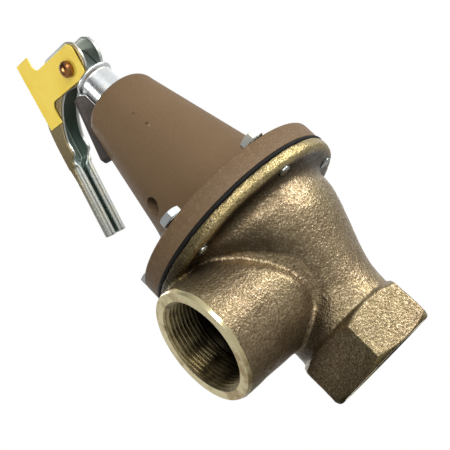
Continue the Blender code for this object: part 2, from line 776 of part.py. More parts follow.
def inset(route, distance):
    """The inner points of a route that runs outwards and down, moved in by a distance."""
    points = []
    for before, here, after in zip(route, route[1:], route[2:]):
        length = math.dist(before, after)
        points.append((here[0] + distance * (after[1] - before[1]) / length,
                       here[1] - distance * (after[0] - before[0]) / length))
    return points


def cam_outline():
    """The ear's edge that rolls on the cap: it lifts the pin in step with the lever's turn."""
    points = []
    steps = 14
    for step in range(steps + 1):
        turn = math.radians(lever_swing + cam_overrun) * step / steps
        support = cam_rest_radius + cam_rise * turn
        points.append((-support * math.sin(turn) - cam_rise * math.cos(turn),
                       -support * math.cos(turn) + cam_rise * math.sin(turn)))
    return points


def build_lever(plated, copper, yellow, steel):
    """The test lever with its pin, washer and tag, and the stem's eye."""
    axis = bpy.data.objects.new("lever_axis", None)
    axis.location = (0, 0, pin_level)
    axis.rotation_euler = (0, 0, math.radians(lever_azimuth))
    collections["Pressure relief valve"].objects.link(axis)
    across = Matrix.Rotation(-math.pi / 2, 4, "X")

    handle_back = handle_front + handle_depth
    corners = [(x, y, 0) for x, y in cam_outline()]
    corners += [(*ear_top_inner, ear_round), (*ear_top_outer, ear_round), (*ear_back, ear_round)]
    corners += [(x, y, 0) for x, y in arm_back]
    corners += [(*handle_point(handle_start, handle_back), 0),
                (*handle_point(handle_end, handle_back), edge_break),
                (*handle_point(handle_end, handle_front), edge_break),
                (*handle_point(handle_start, handle_front), 0), (*knuckle, 0)]
    corners += [(x, y, 0) for x, y in arm_front]
    lever = part("lever", prism(rounded(corners), lever_half_width), plated, axis)

    beyond = 2 * cam_rest_radius + handle_depth
    start_back = handle_point(handle_start, handle_back)
    inner_back = inset((ear_back, *arm_back, start_back), lever_sheet)
    channel = [(-beyond, -beyond), (-beyond, beyond), (web_inner_start, beyond),
               (web_inner_start, ear_back[1] - lever_sheet)] + inner_back
    channel += [handle_point(handle_start, handle_back - lever_sheet),
                handle_point(handle_start, handle_front - lever_sheet)]
    boolean(lever, "DIFFERENCE", prism(channel, ear_gap_half), "channel")
    hollow = [handle_point(handle_start - bite, handle_back - lever_sheet),
              handle_point(handle_end + bite, handle_back - lever_sheet),
              handle_point(handle_end + bite, handle_front + lever_sheet),
              handle_point(handle_start - bite, handle_front + lever_sheet)]
    boolean(lever, "DIFFERENCE", prism(hollow, ear_gap_half), "handle_hollow")
    slot = [handle_point(handle_start - bite, handle_back - 2 * lever_sheet),
            handle_point(handle_end + bite, handle_back - 2 * lever_sheet),
            handle_point(handle_end + bite, handle_front - bite),
            handle_point(handle_start - bite, handle_front - bite)]
    boolean(lever, "DIFFERENCE", prism(slot, handle_slot / 2), "handle_slot")
    pin_hole = cylinder(pin_radius + hole_gap, -lever_half_width - bite, lever_half_width + bite, small_sides)
    boolean(lever, "DIFFERENCE", moved(pin_hole, across), "pin_hole")

    tag_inner = lever_half_width + seat_gap
    head_seat = tag_inner + tag_thickness + seat_gap
    washer_inner = -lever_half_width - seat_gap
    washer_outer = washer_inner - pin_washer_thickness
    tail_seat = washer_outer - seat_gap
    head_level = head_seat + pin_shoulder_height
    head = quarter(0, head_level, pin_head_radius, pin_head_height, 90, 0, 6)
    head[0] = (0, head_level + pin_head_height)
    pin = head + [(pin_shoulder_radius, head_level), (pin_shoulder_radius, head_seat),
                  (pin_radius, head_seat), (pin_radius, tail_seat), (pin_tail_radius, tail_seat),
                  (pin_tail_radius, tail_seat - pin_tail_height / 2),
                  (pin_radius, tail_seat - pin_tail_height), (0, tail_seat - pin_tail_height)]
    part("lever_pin", moved(turned(pin, small_sides), across), copper, axis)

    washer = [(pin_washer_radius, washer_inner), (pin_washer_radius, washer_outer),
              (pin_radius + hole_gap, washer_outer), (pin_radius + hole_gap, washer_inner)]
    part("pin_washer", moved(turned(washer, small_sides), across), steel, axis)

    tee = rounded([(tag_bar_outer, tag_bar_half, edge_break), (tag_bar_inner, tag_bar_half, edge_break),
                   (tag_bar_inner, tag_stem_top, tag_round), (tag_stem_end, tag_stem_top, tag_round),
                   (tag_stem_end, tag_stem_bottom, tag_round), (tag_bar_inner, tag_stem_bottom, tag_round),
                   (tag_bar_inner, -tag_bar_half, edge_break), (tag_bar_outer, -tag_bar_half, edge_break)])
    tilt = math.radians(tag_tilt)
    tilted = [(along * math.cos(tilt) - up * math.sin(tilt), along * math.sin(tilt) + up * math.cos(tilt))
              for along, up in tee]
    middle = tag_inner + tag_thickness / 2
    tag_mesh = moved(prism(tilted, tag_thickness / 2), Matrix.Translation((0, middle, 0)))
    tag = part("tag", tag_mesh, yellow, axis)
    tag_hole = cylinder(pin_radius + hole_gap, tag_inner - bite, head_seat + bite, small_sides)
    boolean(tag, "DIFFERENCE", moved(tag_hole, across), "pin_hole")

    eye_mesh = block(eye_depth, 2 * eye_half_width, eye_bottom - pin_level, eye_rise)
    eye = part("stem_eye", eye_mesh, steel, axis)
    eye_hole = cylinder(pin_radius + hole_gap, -eye_half_width - bite, eye_half_width + bite, small_sides)
    boolean(eye, "DIFFERENCE", moved(eye_hole, across), "pin_hole")
    boolean(eye, "DIFFERENCE", cylinder(stem_tip_radius + hole_gap, eye_bottom - pin_level - bite,
                                        stem_top + seat_gap - pin_level, bolt_sides), "stem_hole")


def main():
    """Build every piece of the valve."""
    start_empty()
    bronze = make_material("Cast bronze", (0.42, 0.30, 0.18), 0.55, 0.8)
    brass = make_material("Brass", (0.70, 0.55, 0.26), 0.35, 1.0)
    iron = make_material("Brown painted iron", (0.16, 0.10, 0.07), 0.6, 0.0)
    rubber = make_material("Black rubber", (0.02, 0.02, 0.02), 0.7, 0.0)
    steel = make_material("Steel", (0.60, 0.60, 0.58), 0.35, 1.0)
    plated = make_material("Zinc plate", (0.72, 0.74, 0.76), 0.28, 1.0)
    copper = make_material("Copper plate", (0.38, 0.18, 0.07), 0.3, 1.0)
    yellow = make_material("Yellow tag", (0.85, 0.62, 0.10), 0.4, 0.0)
    build_body(bronze)
    build_seat_and_disc(brass, rubber, steel)
    build_diaphragm(brass, rubber, steel)
    build_spring(steel, brass)
    build_bonnet(iron)
    build_bolts(plated)
    build_cap(plated)
    build_lever(plated, copper, yellow, steel)
    for thing in pieces:
        settle(thing)
    bpy.context.view_layer.update()


collections = {}
pieces = []
main()
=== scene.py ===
"""Looks of the pressure relief valve: fine shapes, finishes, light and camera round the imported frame.

Sizes are metres in the valve's own frame: +Z up its axis from the inlet's end face, +X along the outlet.
"""
import logging
import math
from dataclasses import dataclass, field
from enum import Enum
from typing import Callable, Iterable, Sequence

import bmesh
import bpy
import numpy as np
from bpy.types import Collection, Material, Mesh, Node, NodeSocket, NodeTree, Object
from mathutils import Matrix, Vector, noise


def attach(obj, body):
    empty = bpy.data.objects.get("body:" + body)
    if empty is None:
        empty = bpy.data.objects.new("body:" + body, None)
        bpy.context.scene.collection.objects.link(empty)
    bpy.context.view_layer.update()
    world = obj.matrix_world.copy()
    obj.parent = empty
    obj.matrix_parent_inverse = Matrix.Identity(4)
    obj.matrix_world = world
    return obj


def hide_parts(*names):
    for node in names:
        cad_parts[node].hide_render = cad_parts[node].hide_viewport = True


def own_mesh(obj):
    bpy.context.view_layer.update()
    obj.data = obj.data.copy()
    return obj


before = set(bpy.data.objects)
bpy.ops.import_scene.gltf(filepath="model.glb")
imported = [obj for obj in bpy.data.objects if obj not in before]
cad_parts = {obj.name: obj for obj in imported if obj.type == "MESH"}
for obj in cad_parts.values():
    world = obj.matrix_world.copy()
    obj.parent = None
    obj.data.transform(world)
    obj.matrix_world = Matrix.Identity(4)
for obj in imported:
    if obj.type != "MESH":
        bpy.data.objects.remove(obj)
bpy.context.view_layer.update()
log = logging.getLogger("relief_valve")

Pair = tuple[float, float]
Profile = list[Pair]
Colour = tuple[float, float, float, float]

# Sizes that shapes and finishes share
OUTLET_LEVEL = 0.0620
OUTLET_RADIUS = 0.0303
FLANGE_RADIUS = 0.0580
FLANGE_UNDER = 0.0906

# Turns that lay what stands along Z along another axis
ALONG_X = Matrix.Rotation(math.pi / 2, 4, "Y")
ALONG_Y = Matrix.Rotation(-math.pi / 2, 4, "X")


class Body(Enum):
    """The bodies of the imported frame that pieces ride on."""

    BASE = "base"
    STEM = "stem"
    LEVER = "lever"


class Slot(Enum):
    """The record's material slots."""

    BRONZE = "body_bronze"
    IRON = "bonnet_iron"
    RUBBER = "rubber"
    STEEL = "steel"
    ZINC = "zinc_plate"
    COPPER = "pin_copper"
    YELLOW = "tag_yellow"


class Blend(Enum):
    """Ways to combine two meshes."""

    JOIN = "UNION"
    CUT = "DIFFERENCE"
    SHARE = "INTERSECT"


# Mesh making


def mesh_of(points: Sequence, faces: Sequence) -> Mesh:
    """A welded mesh with its faces turned outwards.

    Args:
        points: Corner positions.
        faces: Corner numbers of each face.

    Returns:
        The new mesh.
    """
    mesh = bpy.data.meshes.new("shape")
    mesh.from_pydata([tuple(map(float, point)) for point in points], [], faces)
    shape = bmesh.new()
    shape.from_mesh(mesh)
    bmesh.ops.remove_doubles(shape, verts=shape.verts, dist=1e-6)
    bmesh.ops.dissolve_degenerate(shape, edges=shape.edges, dist=1e-7)
    bmesh.ops.recalc_face_normals(shape, faces=shape.faces)
    shape.to_mesh(mesh)
    shape.free()
    return mesh


def turned(profile: Profile, sides: int) -> Mesh:
    """Turn a profile about Z.

    Args:
        profile: Points as (radius, level), from the axis to the axis, or a closed loop off the axis.
        sides: How many steps go round.

    Returns:
        A closed mesh.
    """
    turns = np.arange(sides) * 2 * math.pi / sides
    points = [(radius * c, radius * s, level) for radius, level in profile
              for c, s in zip(np.cos(turns), np.sin(turns))]
    rings = len(profile)
    closed = profile[0][0] > 0
    faces = []
    for i in range(rings if closed else rings - 1):
        low, high = i * sides, (i + 1) % rings * sides
        faces += [(low + j, high + j, high + (j + 1) % sides, low + (j + 1) % sides) for j in range(sides)]
    return mesh_of(points, faces)


def rod(radius: float, bottom: float, top: float, sides: int) -> Mesh:
    """A plain round bar about Z."""
    return turned([(0, top), (radius, top), (radius, bottom), (0, bottom)], sides)


def lofted(rings: Sequence[Sequence]) -> Mesh:
    """Join rings into one skin, and close both ends.

    Args:
        rings: Rings with the same number of points.

    Returns:
        A closed mesh.
    """
    count = len(rings[0])
    points = [point for ring in rings for point in ring]
    last = len(points) - count
    faces = [tuple(range(count)), tuple(range(last, last + count))]
    for k in range(0, last, count):
        for i in range(count):
            j = (i + 1) % count
            faces.append((k + i, k + j, k + count + j, k + count + i))
    return mesh_of(points, faces)


def prism(outline: Profile, near: float, far: float) -> Mesh:
    """Stretch an outline of (x, z) points from y = near to y = far."""
    return lofted([[(x, y, z) for x, z in outline] for y in (near, far)])


def hexagon(flats: float, bottom: float, top: float, first_corner: float) -> Mesh:
    """A plain hexagon block about Z.

    Args:
        flats: Distance across its flats.
        bottom: Level of its lower face.
        top: Level of its upper face.
        first_corner: Azimuth of a corner in degrees.

    Returns:
        The block.
    """
    corner = flats / 2 / math.cos(math.pi / 6)
    turns = np.radians(first_corner + 60 * np.arange(6))
    ring = [(corner * math.cos(turn), corner * math.sin(turn)) for turn in turns]
    return lofted([[(x, y, level) for x, y in ring] for level in (bottom, top)])


def arc(centre: Pair, radius: Pair, start: float, end: float, steps: int) -> Profile:
    """Points on an ellipse's arc from one angle in degrees to another, ends included."""
    angles = np.radians(np.linspace(start, end, steps + 1))
    return [(centre[0] + radius[0] * math.cos(a), centre[1] + radius[1] * math.sin(a)) for a in angles]


def rounded(corners: Sequence[tuple[float, float, float]], steps: int = 8) -> Profile:
    """Round the corners of an outline by arcs.

    Args:
        corners: Corners as (x, z, radius); a radius of 0 leaves a corner sharp.
        steps: How many steps each arc has.

    Returns:
        The outline's points.
    """
    outline: Profile = []
    for i, (x, z, radius) in enumerate(corners):
        if radius == 0:
            outline.append((x, z))
            continue
        before = corners[i - 1]
        after = corners[(i + 1) % len(corners)]
        to_before = math.atan2(before[1] - z, before[0] - x)
        opening = (math.atan2(after[1] - z, after[0] - x) - to_before + math.pi) % (2 * math.pi) - math.pi
        middle = to_before + opening / 2
        reach = radius / math.sin(abs(opening) / 2)
        centre = (x + reach * math.cos(middle), z + reach * math.sin(middle))
        sweep = math.degrees((math.pi - abs(opening)) * (-1 if opening > 0 else 1))
        first = math.degrees(middle) + 180 - sweep / 2
        outline += arc(centre, (radius, radius), first, first + sweep, steps)
    return outline


def smooth_route(points: Sequence[Pair], steps: int = 5) -> Profile:
    """Lead a smooth route through points.

    Args:
        points: The points, ends included.
        steps: How many steps lie between two of them.

    Returns:
        The route's points.
    """
    padded = [points[0], *points, points[-1]]
    route: Profile = []
    for a, b, c, d in zip(padded, padded[1:], padded[2:], padded[3:]):
        a, b, c, d = map(np.array, (a, b, c, d))
        for t in np.arange(steps) / steps:
            point = b + 0.5 * t * (c - a + t * (2 * a - 5 * b + 4 * c - d + t * (3 * (b - c) + d - a)))
            route.append(tuple(point))
    route.append(tuple(points[-1]))
    return route


def with_modifier(mesh: Mesh, kind: str, **settings: object) -> Mesh:
    """A mesh after one modifier.

    Args:
        mesh: The mesh to change, which is removed.
        kind: The modifier's type.
        settings: The modifier's values.

    Returns:
        The changed mesh.
    """
    holder = bpy.data.objects.new("holder", mesh)
    bpy.context.scene.collection.objects.link(holder)
    modifier = holder.modifiers.new("step", kind)
    for key, value in settings.items():
        setattr(modifier, key, value)
    bpy.context.view_layer.update()
    graph = bpy.context.evaluated_depsgraph_get()
    result = bpy.data.meshes.new_from_object(holder.evaluated_get(graph))
    bpy.data.objects.remove(holder)
    bpy.data.meshes.remove(mesh)
    return result


def bevelled(mesh: Mesh, width: float, segments: int, bend: float = 1.0) -> Mesh:
    """Round a mesh's edges that bend more than a given angle in radians."""
    return with_modifier(mesh, "BEVEL", width=width, segments=segments, limit_method="ANGLE",
                         angle_limit=bend)


def remeshed(mesh: Mesh, voxel: float) -> Mesh:
    """A mesh's skin made anew, of small even faces."""
    return with_modifier(mesh, "REMESH", mode="VOXEL", voxel_size=voxel, use_smooth_shade=True)


def combined(mesh: Mesh, other: Mesh, blend: Blend) -> Mesh:
    """Join two meshes, cut one with the other, or keep what they share.

    Args:
        mesh: The mesh that stays.
        other: The mesh that is joined or cut away, which is removed; its materials go with its faces.
        blend: How they are combined.

    Returns:
        The combined mesh.
    """
    tool = bpy.data.objects.new("tool", other)
    bpy.context.scene.collection.objects.link(tool)
    result = with_modifier(mesh, "BOOLEAN", object=tool, operation=blend.value, solver="EXACT",
                           material_mode="TRANSFER")
    bpy.data.objects.remove(tool)
    bpy.data.meshes.remove(other)
    return result


def cut(mesh: Mesh, tool: Mesh, finish: Material | None = None) -> Mesh:
    """Cut a shape out of a mesh.

    Args:
        mesh: The mesh that stays.
        tool: The shape to cut away, which is removed.
        finish: The material of the faces that it leaves, if they have one yet.

    Returns:
        The cut mesh.
    """
    if finish:
        dressed(tool, finish)
    return combined(mesh, tool, Blend.CUT)


def moved(mesh: Mesh, *steps: Matrix) -> Mesh:
    """Apply placements to a mesh.

    Args:
        mesh: The mesh to move.
        steps: The placements, the first one first.

    Returns:
        The same mesh.
    """
    for step in steps:
        mesh.transform(step)
    return mesh


def about_z(degrees: float) -> Matrix:
    """A turn about the valve's axis."""
    return Matrix.Rotation(math.radians(degrees), 4, "Z")


def raised(level: float) -> Matrix:
    """A step up the valve's axis."""
    return Matrix.Translation((0, 0, level))


def smooth_step(share: np.ndarray) -> np.ndarray:
    """A soft step from 0 to 1 over the same range."""
    held = np.clip(share, 0.0, 1.0)
    return held * held * (3 - 2 * held)


def points_of(mesh: Mesh) -> np.ndarray:
    """The mesh's points.

    Args:
        mesh: The mesh to read.

    Returns:
        An array with a row for each point.
    """
    points = np.empty(len(mesh.vertices) * 3)
    mesh.vertices.foreach_get("co", points)
    return points.reshape(-1, 3)


def with_points(mesh: Mesh, points: np.ndarray) -> Mesh:
    """Put a mesh's points in new places.

    Args:
        mesh: The mesh to change.
        points: An array with a row for each point.

    Returns:
        The same mesh.
    """
    mesh.vertices.foreach_set("co", points.ravel())
    mesh.update()
    return mesh


def relaxed(mesh: Mesh, rounds: int, weight: np.ndarray | float) -> Mesh:
    """Move points towards the middle of their neighbours.

    Args:
        mesh: The mesh to soften.
        rounds: How often.
        weight: Share of the way in each round, for each point or for all.

    Returns:
        The same mesh.
    """
    points = points_of(mesh)
    edges = np.empty(len(mesh.edges) * 2, dtype=int)
    mesh.edges.foreach_get("vertices", edges)
    first, second = edges.reshape(-1, 2).T
    count = len(points)
    neighbours = np.bincount(edges, minlength=count)
    share = np.broadcast_to(weight, count)
    for _ in range(rounds):
        for column in points.T:
            total = np.bincount(first, column[second], count) + np.bincount(second, column[first], count)
            column += share * (total / neighbours - column)
    return with_points(mesh, points)


def uneven(mesh: Mesh, size: float, depth: float) -> Mesh:
    """Push points out and in along their normals by a soft noise.

    Args:
        mesh: The mesh to change.
        size: How wide a swell is.
        depth: How high it is.

    Returns:
        The same mesh.
    """
    points = points_of(mesh)
    normals = np.empty(points.size)
    mesh.vertex_normals.foreach_get("vector", normals)
    swell = np.array([noise.noise(Vector(point / size)) for point in points])
    points += normals.reshape(-1, 3) * (swell * depth)[:, None]
    return with_points(mesh, points)


def dressed(mesh: Mesh, material: Material) -> Mesh:
    """Give a mesh its one material.

    Args:
        mesh: The mesh to dress.
        material: Its material.

    Returns:
        The same mesh.
    """
    mesh.materials.clear()
    mesh.materials.append(material)
    return mesh


def placed(name: str, mesh: Mesh, body: Body, slot: Slot, nodes: Sequence[str] = (),
           sharp: float = 35.0) -> Object:
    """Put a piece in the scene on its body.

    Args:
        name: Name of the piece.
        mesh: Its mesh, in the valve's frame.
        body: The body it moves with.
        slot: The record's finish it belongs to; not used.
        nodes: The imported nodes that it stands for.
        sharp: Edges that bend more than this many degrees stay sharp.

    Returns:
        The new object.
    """
    mesh.name = name
    mesh.shade_smooth()
    mesh.set_sharp_from_angle(angle=math.radians(sharp))
    piece = bpy.data.objects.new(name, mesh)
    bpy.context.scene.collection.objects.link(piece)
    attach(piece, body.value)
    if nodes:
        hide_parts(*nodes)
    log.info("%s on %s: %d faces", name, body.value, len(mesh.polygons))
    return piece


# Shader making


@dataclass(frozen=True)
class Layer:
    """A tone that shows where its mask lets it, by a share of the mask."""

    mask: NodeSocket
    tone: Colour
    share: NodeSocket | float = 1.0


class Web:
    """A node tree with short calls that add and link nodes."""

    def __init__(self, tree: NodeTree) -> None:
        """Hold the tree."""
        self.tree = tree

    def add(self, kind: str, inputs: dict | None = None, **settings: object) -> Node:
        """Add a node.

        Args:
            kind: The node's type without its first word.
            inputs: Values or sockets for its inputs, by name or number.
            settings: Its other values.

        Returns:
            The node.
        """
        node = self.tree.nodes.new("ShaderNode" + kind)
        for key, value in settings.items():
            setattr(node, key, value)
        for key, value in (inputs or {}).items():
            self.feed(node.inputs[key], value)
        return node

    def feed(self, socket: NodeSocket, value: object) -> None:
        """Fill a node's input.

        Args:
            socket: The input.
            value: A socket to link into it, or the value it keeps.
        """
        if isinstance(value, NodeSocket):
            self.tree.links.new(value, socket)
        else:
            socket.default_value = value

    def math(self, operation: str, first: object, second: object = 0.0) -> NodeSocket:
        """The result of a sum on one or two values."""
        return self.add("Math", {0: first, 1: second}, operation=operation).outputs[0]

    def plus(self, first: object, second: object) -> NodeSocket:
        """Two values added."""
        return self.math("ADD", first, second)

    def minus(self, first: object, second: object) -> NodeSocket:
        """The first value less the second."""
        return self.math("SUBTRACT", first, second)

    def larger(self, first: object, second: object) -> NodeSocket:
        """The larger of two values."""
        return self.math("MAXIMUM", first, second)

    def product(self, *values: object) -> NodeSocket:
        """Multiply values.

        Args:
            values: Two values or more.

        Returns:
            Their product.
        """
        result = values[0]
        for value in values[1:]:
            result = self.math("MULTIPLY", result, value)
        return result

    def place(self) -> bpy.types.NodeOutputs:
        """The surface point's X, Y and Z in the piece's own frame."""
        return self.add("SeparateXYZ", {0: self.add("TexCoord").outputs["Object"]}).outputs

    def length(self, first: object, second: object) -> NodeSocket:
        """The length of a step of two parts at right angles."""
        return self.math("SQRT", self.plus(self.product(first, first), self.product(second, second)))

    def noise(self, size: object, detail: float = 3.0, coarse: float = 0.5) -> NodeSocket:
        """A noise value; size is how many waves lie in a metre."""
        place = self.add("TexCoord").outputs["Object"]
        return self.add("TexNoise", {"Vector": place, "Scale": size, "Detail": detail,
                                     "Roughness": coarse}).outputs["Fac"]

    def remap(self, value: object, low: object, high: object, to_low: float = 0.0,
              to_high: float = 1.0) -> NodeSocket:
        """A value taken from one range to another, held at its ends."""
        return self.add("MapRange", {"Value": value, "From Min": low, "From Max": high, "To Min": to_low,
                                     "To Max": to_high}).outputs[0]

    def mix(self, share: object, first: object, second: object) -> NodeSocket:
        """A colour between two colours."""
        return self.add("Mix", {0: share, 6: first, 7: second}, data_type="RGBA").outputs[2]

    def layered(self, base: object, *layers: Layer) -> NodeSocket:
        """Lay tones over a base colour.

        Args:
            base: The colour under the layers.
            layers: The layers, the lowest one first.

        Returns:
            The colour that shows.
        """
        for layer in layers:
            base = self.mix(self.product(layer.mask, layer.share), base, layer.tone)
        return base

    def towards(self, way: tuple) -> NodeSocket:
        """How nearly a ray of the surroundings comes from a given way."""
        return self.add("VectorMath", {0: self.add("TexCoord").outputs["Generated"], 1: way},
                        operation="DOT_PRODUCT").outputs["Value"]


class Effect:
    """An effect that several finishes share, as a node group."""

    def __init__(self, name: str, inputs: dict[str, float], outputs: Iterable[str]) -> None:
        """Make the group with its sockets.

        Args:
            name: Name of the effect.
            inputs: Its inputs with their usual values.
            outputs: Names of what it puts out.
        """
        self.tree = bpy.data.node_groups.new(name, "ShaderNodeTree")
        for key, value in inputs.items():
            socket = self.tree.interface.new_socket(key, in_out="INPUT", socket_type="NodeSocketFloat")
            socket.default_value = value
        for key in outputs:
            self.tree.interface.new_socket(key, in_out="OUTPUT", socket_type="NodeSocketFloat")
        self.web = Web(self.tree)
        self.inputs = self.tree.nodes.new("NodeGroupInput").outputs
        self.outputs = self.tree.nodes.new("NodeGroupOutput").inputs

    def give(self, **values: object) -> "Effect":
        """Feed the effect's outputs.

        Args:
            values: What each output puts out, by its name in small letters.

        Returns:
            The effect.
        """
        for key, value in values.items():
            self.web.feed(self.outputs[key.capitalize()], value)
        return self

    def use(self, web: Web, **values: object) -> bpy.types.NodeOutputs:
        """Place the effect in a material.

        Args:
            web: The material's web.
            values: The effect's inputs, by their names in small letters.

        Returns:
            The effect's outputs.
        """
        node = web.tree.nodes.new("ShaderNodeGroup")
        node.node_tree = self.tree
        for key, value in values.items():
            web.feed(node.inputs[key.capitalize()], value)
        return node.outputs


class Effects:
    """All effects that the finishes share."""

    def __init__(self) -> None:
        """Build each group once."""
        self.sand = self.make_sand()
        self.patches = self.make_patches()
        self.wear = self.make_wear()
        self.lines = self.make_lines()

    @staticmethod
    def make_sand() -> Effect:
        """The grainy skin of a sand casting.

        Returns:
            An effect with the skin's height, the tops of its grains and the hollows between them.
        """
        effect = Effect("Sand casting", {"Grain": 900.0, "Lumps": 260.0}, ("Height", "Tops", "Hollows"))
        web = effect.web
        fine = web.noise(effect.inputs["Grain"], 2.0, 0.5)
        lumps = web.noise(effect.inputs["Lumps"], 2.0, 0.5)
        height = web.plus(web.product(fine, 0.75), web.product(lumps, 0.25))
        return effect.give(height=height, tops=web.remap(height, 0.52, 0.66),
                           hollows=web.remap(height, 0.48, 0.34))

    @staticmethod
    def make_patches() -> Effect:
        """Slow changes over a surface, such as tarnish or a tint.

        Returns:
            An effect with the mask of the patches.
        """
        effect = Effect("Patches", {"Size": 40.0, "Low": 0.4, "High": 0.65}, ("Mask",))
        web = effect.web
        value = web.noise(effect.inputs["Size"], 4.0, 0.55)
        return effect.give(mask=web.remap(value, effect.inputs["Low"], effect.inputs["High"]))

    @staticmethod
    def make_wear() -> Effect:
        """Raised edges that are rubbed bright, and sunken corners that are darker.

        Returns:
            An effect with a mask of each.
        """
        effect = Effect("Edge wear", {"Edge": 0.53, "Corner": 0.47, "Breakup": 400.0}, ("Raised", "Sunken"))
        web = effect.web
        edge, corner = effect.inputs["Edge"], effect.inputs["Corner"]
        bend = web.add("NewGeometry").outputs["Pointiness"]
        broken = web.remap(web.noise(effect.inputs["Breakup"], 3.0, 0.6), 0.3, 0.6)
        rubbed = web.remap(bend, edge, web.plus(edge, 0.06))
        return effect.give(raised=web.product(rubbed, broken),
                           sunken=web.remap(bend, corner, web.minus(corner, 0.08)))

    @staticmethod
    def make_lines() -> Effect:
        """Fine lines that run round a turned face, about an axis along X or along Z.

        Returns:
            An effect with the lines' height and the place along that axis.
        """
        effect = Effect("Tool lines", {"Sideways": 0.0, "Level": 0.0, "Count": 2500.0}, ("Height", "Along"))
        web = effect.web
        place = web.place()
        lifted = web.minus(place["Z"], effect.inputs["Level"])
        other, along = (web.add("Mix", {0: effect.inputs["Sideways"], 2: upright, 3: sideways}).outputs[0]
                        for upright, sideways in ((place["X"], lifted), (lifted, place["X"])))
        run = web.product(web.plus(web.length(place["Y"], other), along), effect.inputs["Count"])
        height = web.add("TexNoise", {"W": run, "Scale": 1.0, "Detail": 3.0}, noise_dimensions="1D")
        return effect.give(height=height.outputs["Fac"], along=along)

    def patch(self, web: Web, size: float, low: float, high: float) -> NodeSocket:
        """A mask of patches; size is how many lie in a metre."""
        return self.patches.use(web, size=size, low=low, high=high)["Mask"]


class Surface:
    """A material with its Principled shader, and the web of nodes that feeds it."""

    def __init__(self, name: str, **values: float) -> None:
        """Make the material.

        Args:
            name: Name of the material.
            values: Values that are the same all over, by the shader's socket names with _ for spaces.
        """
        self.material = bpy.data.materials.new(name)
        self.material.use_nodes = True
        self.web = Web(self.material.node_tree)
        self.shader = self.material.node_tree.nodes["Principled BSDF"]
        for key, value in values.items():
            self.shader.inputs[key.replace("_", " ")].default_value = value

    def finish(self, colour: NodeSocket, rough: NodeSocket, height: NodeSocket, depth: float) -> Material:
        """Feed the shader what varies over the surface.

        Args:
            colour: Its colour.
            rough: Its roughness.
            height: Its bumps, from 0 to 1.
            depth: How high a bump of 1 is.

        Returns:
            The material.
        """
        bump = self.web.add("Bump", {"Height": height, "Distance": depth})
        for key, value in (("Base Color", colour), ("Roughness", rough), ("Normal", bump.outputs[0])):
            self.web.feed(self.shader.inputs[key], value)
        return self.material


@dataclass(frozen=True)
class CastBronze:
    """Sand-cast bronze: a golden brown grain with bright tops, dark hollows and darker corners, and painted
    shade under the flange and in the valley beside the branch.
    """

    deep: Colour = (0.085, 0.056, 0.027, 1.0)
    middle: Colour = (0.318, 0.237, 0.139, 1.0)
    bright: Colour = (0.620, 0.525, 0.365, 1.0)
    green: Colour = (0.265, 0.222, 0.110, 1.0)
    gold: Colour = (0.430, 0.345, 0.135, 1.0)
    # Dark brown of the painted shade under the flange and in the valley
    painted_shade_tone: Colour = (0.045, 0.032, 0.017, 1.0)
    grain: float = 900.0
    bump: float = 0.0005

    def make(self, effects: Effects) -> Material:
        """Build the material.

        Args:
            effects: The shared effects.

        Returns:
            The material.
        """
        surface = Surface("Cast bronze", Metallic=0.9)
        web = surface.web
        sand = effects.sand.use(web, grain=self.grain, lumps=320.0)
        tarnish = effects.patch(web, size=45.0, low=0.35, high=0.7)
        tint = effects.patch(web, size=28.0, low=0.42, high=0.62)
        wear = effects.wear.use(web, edge=0.53, corner=0.47, breakup=300.0)
        # Painted shade under the flange and in the valley; it also dims the grain's bright tops there
        painted_shade = self.painted_shade(web)
        shine = web.remap(painted_shade, 0.0, 0.9, 0.42, 0.08)
        colour = web.layered(self.middle, Layer(tint, self.green, 0.5), Layer(self.rim(web), self.gold, 0.6),
                             Layer(tarnish, self.deep, 0.4), Layer(painted_shade, self.painted_shade_tone),
                             Layer(sand["Hollows"], self.deep, 0.65), Layer(sand["Tops"], self.bright, shine),
                             Layer(wear["Sunken"], self.deep, 0.6), Layer(wear["Raised"], self.bright, 0.7))
        rough = web.remap(sand["Height"], 0.35, 0.65, 0.46, 0.32)
        return surface.finish(colour, rough, sand["Height"], self.bump)

    @staticmethod
    def rim(web: Web) -> NodeSocket:
        """The flange's edge, which is rubbed to a yellower tone.

        Args:
            web: The material's web.

        Returns:
            A mask.
        """
        place = web.place()
        edge = web.length(place["X"], place["Y"])
        return web.product(web.remap(edge, FLANGE_RADIUS - 0.004, FLANGE_RADIUS - 0.001),
                           web.remap(place["Z"], FLANGE_UNDER - 0.002, FLANGE_UNDER))

    @staticmethod
    def painted_shade(web: Web) -> NodeSocket:
        """Painted shade under the flange, and in the valley beside the branch.

        Args:
            web: The material's web.

        Returns:
            A mask.
        """
        place = web.place()
        to_axis = web.length(place["X"], place["Y"])
        to_branch = web.length(place["Y"], web.minus(place["Z"], OUTLET_LEVEL))
        # Painted shade under the flange's overhang
        under = web.product(web.remap(place["Z"], FLANGE_UNDER - 0.009, FLANGE_UNDER - 0.001),
                            web.remap(to_axis, FLANGE_RADIUS - 0.002, FLANGE_RADIUS - 0.005))
        # Painted shade in the valley round the branch
        valley = web.product(web.remap(to_branch, OUTLET_RADIUS + 0.021, OUTLET_RADIUS + 0.006),
                             web.remap(to_branch, OUTLET_RADIUS + 0.0004, OUTLET_RADIUS + 0.002),
                             web.remap(place["X"], 0.004, 0.022))
        return web.product(web.larger(under, valley), 0.9)


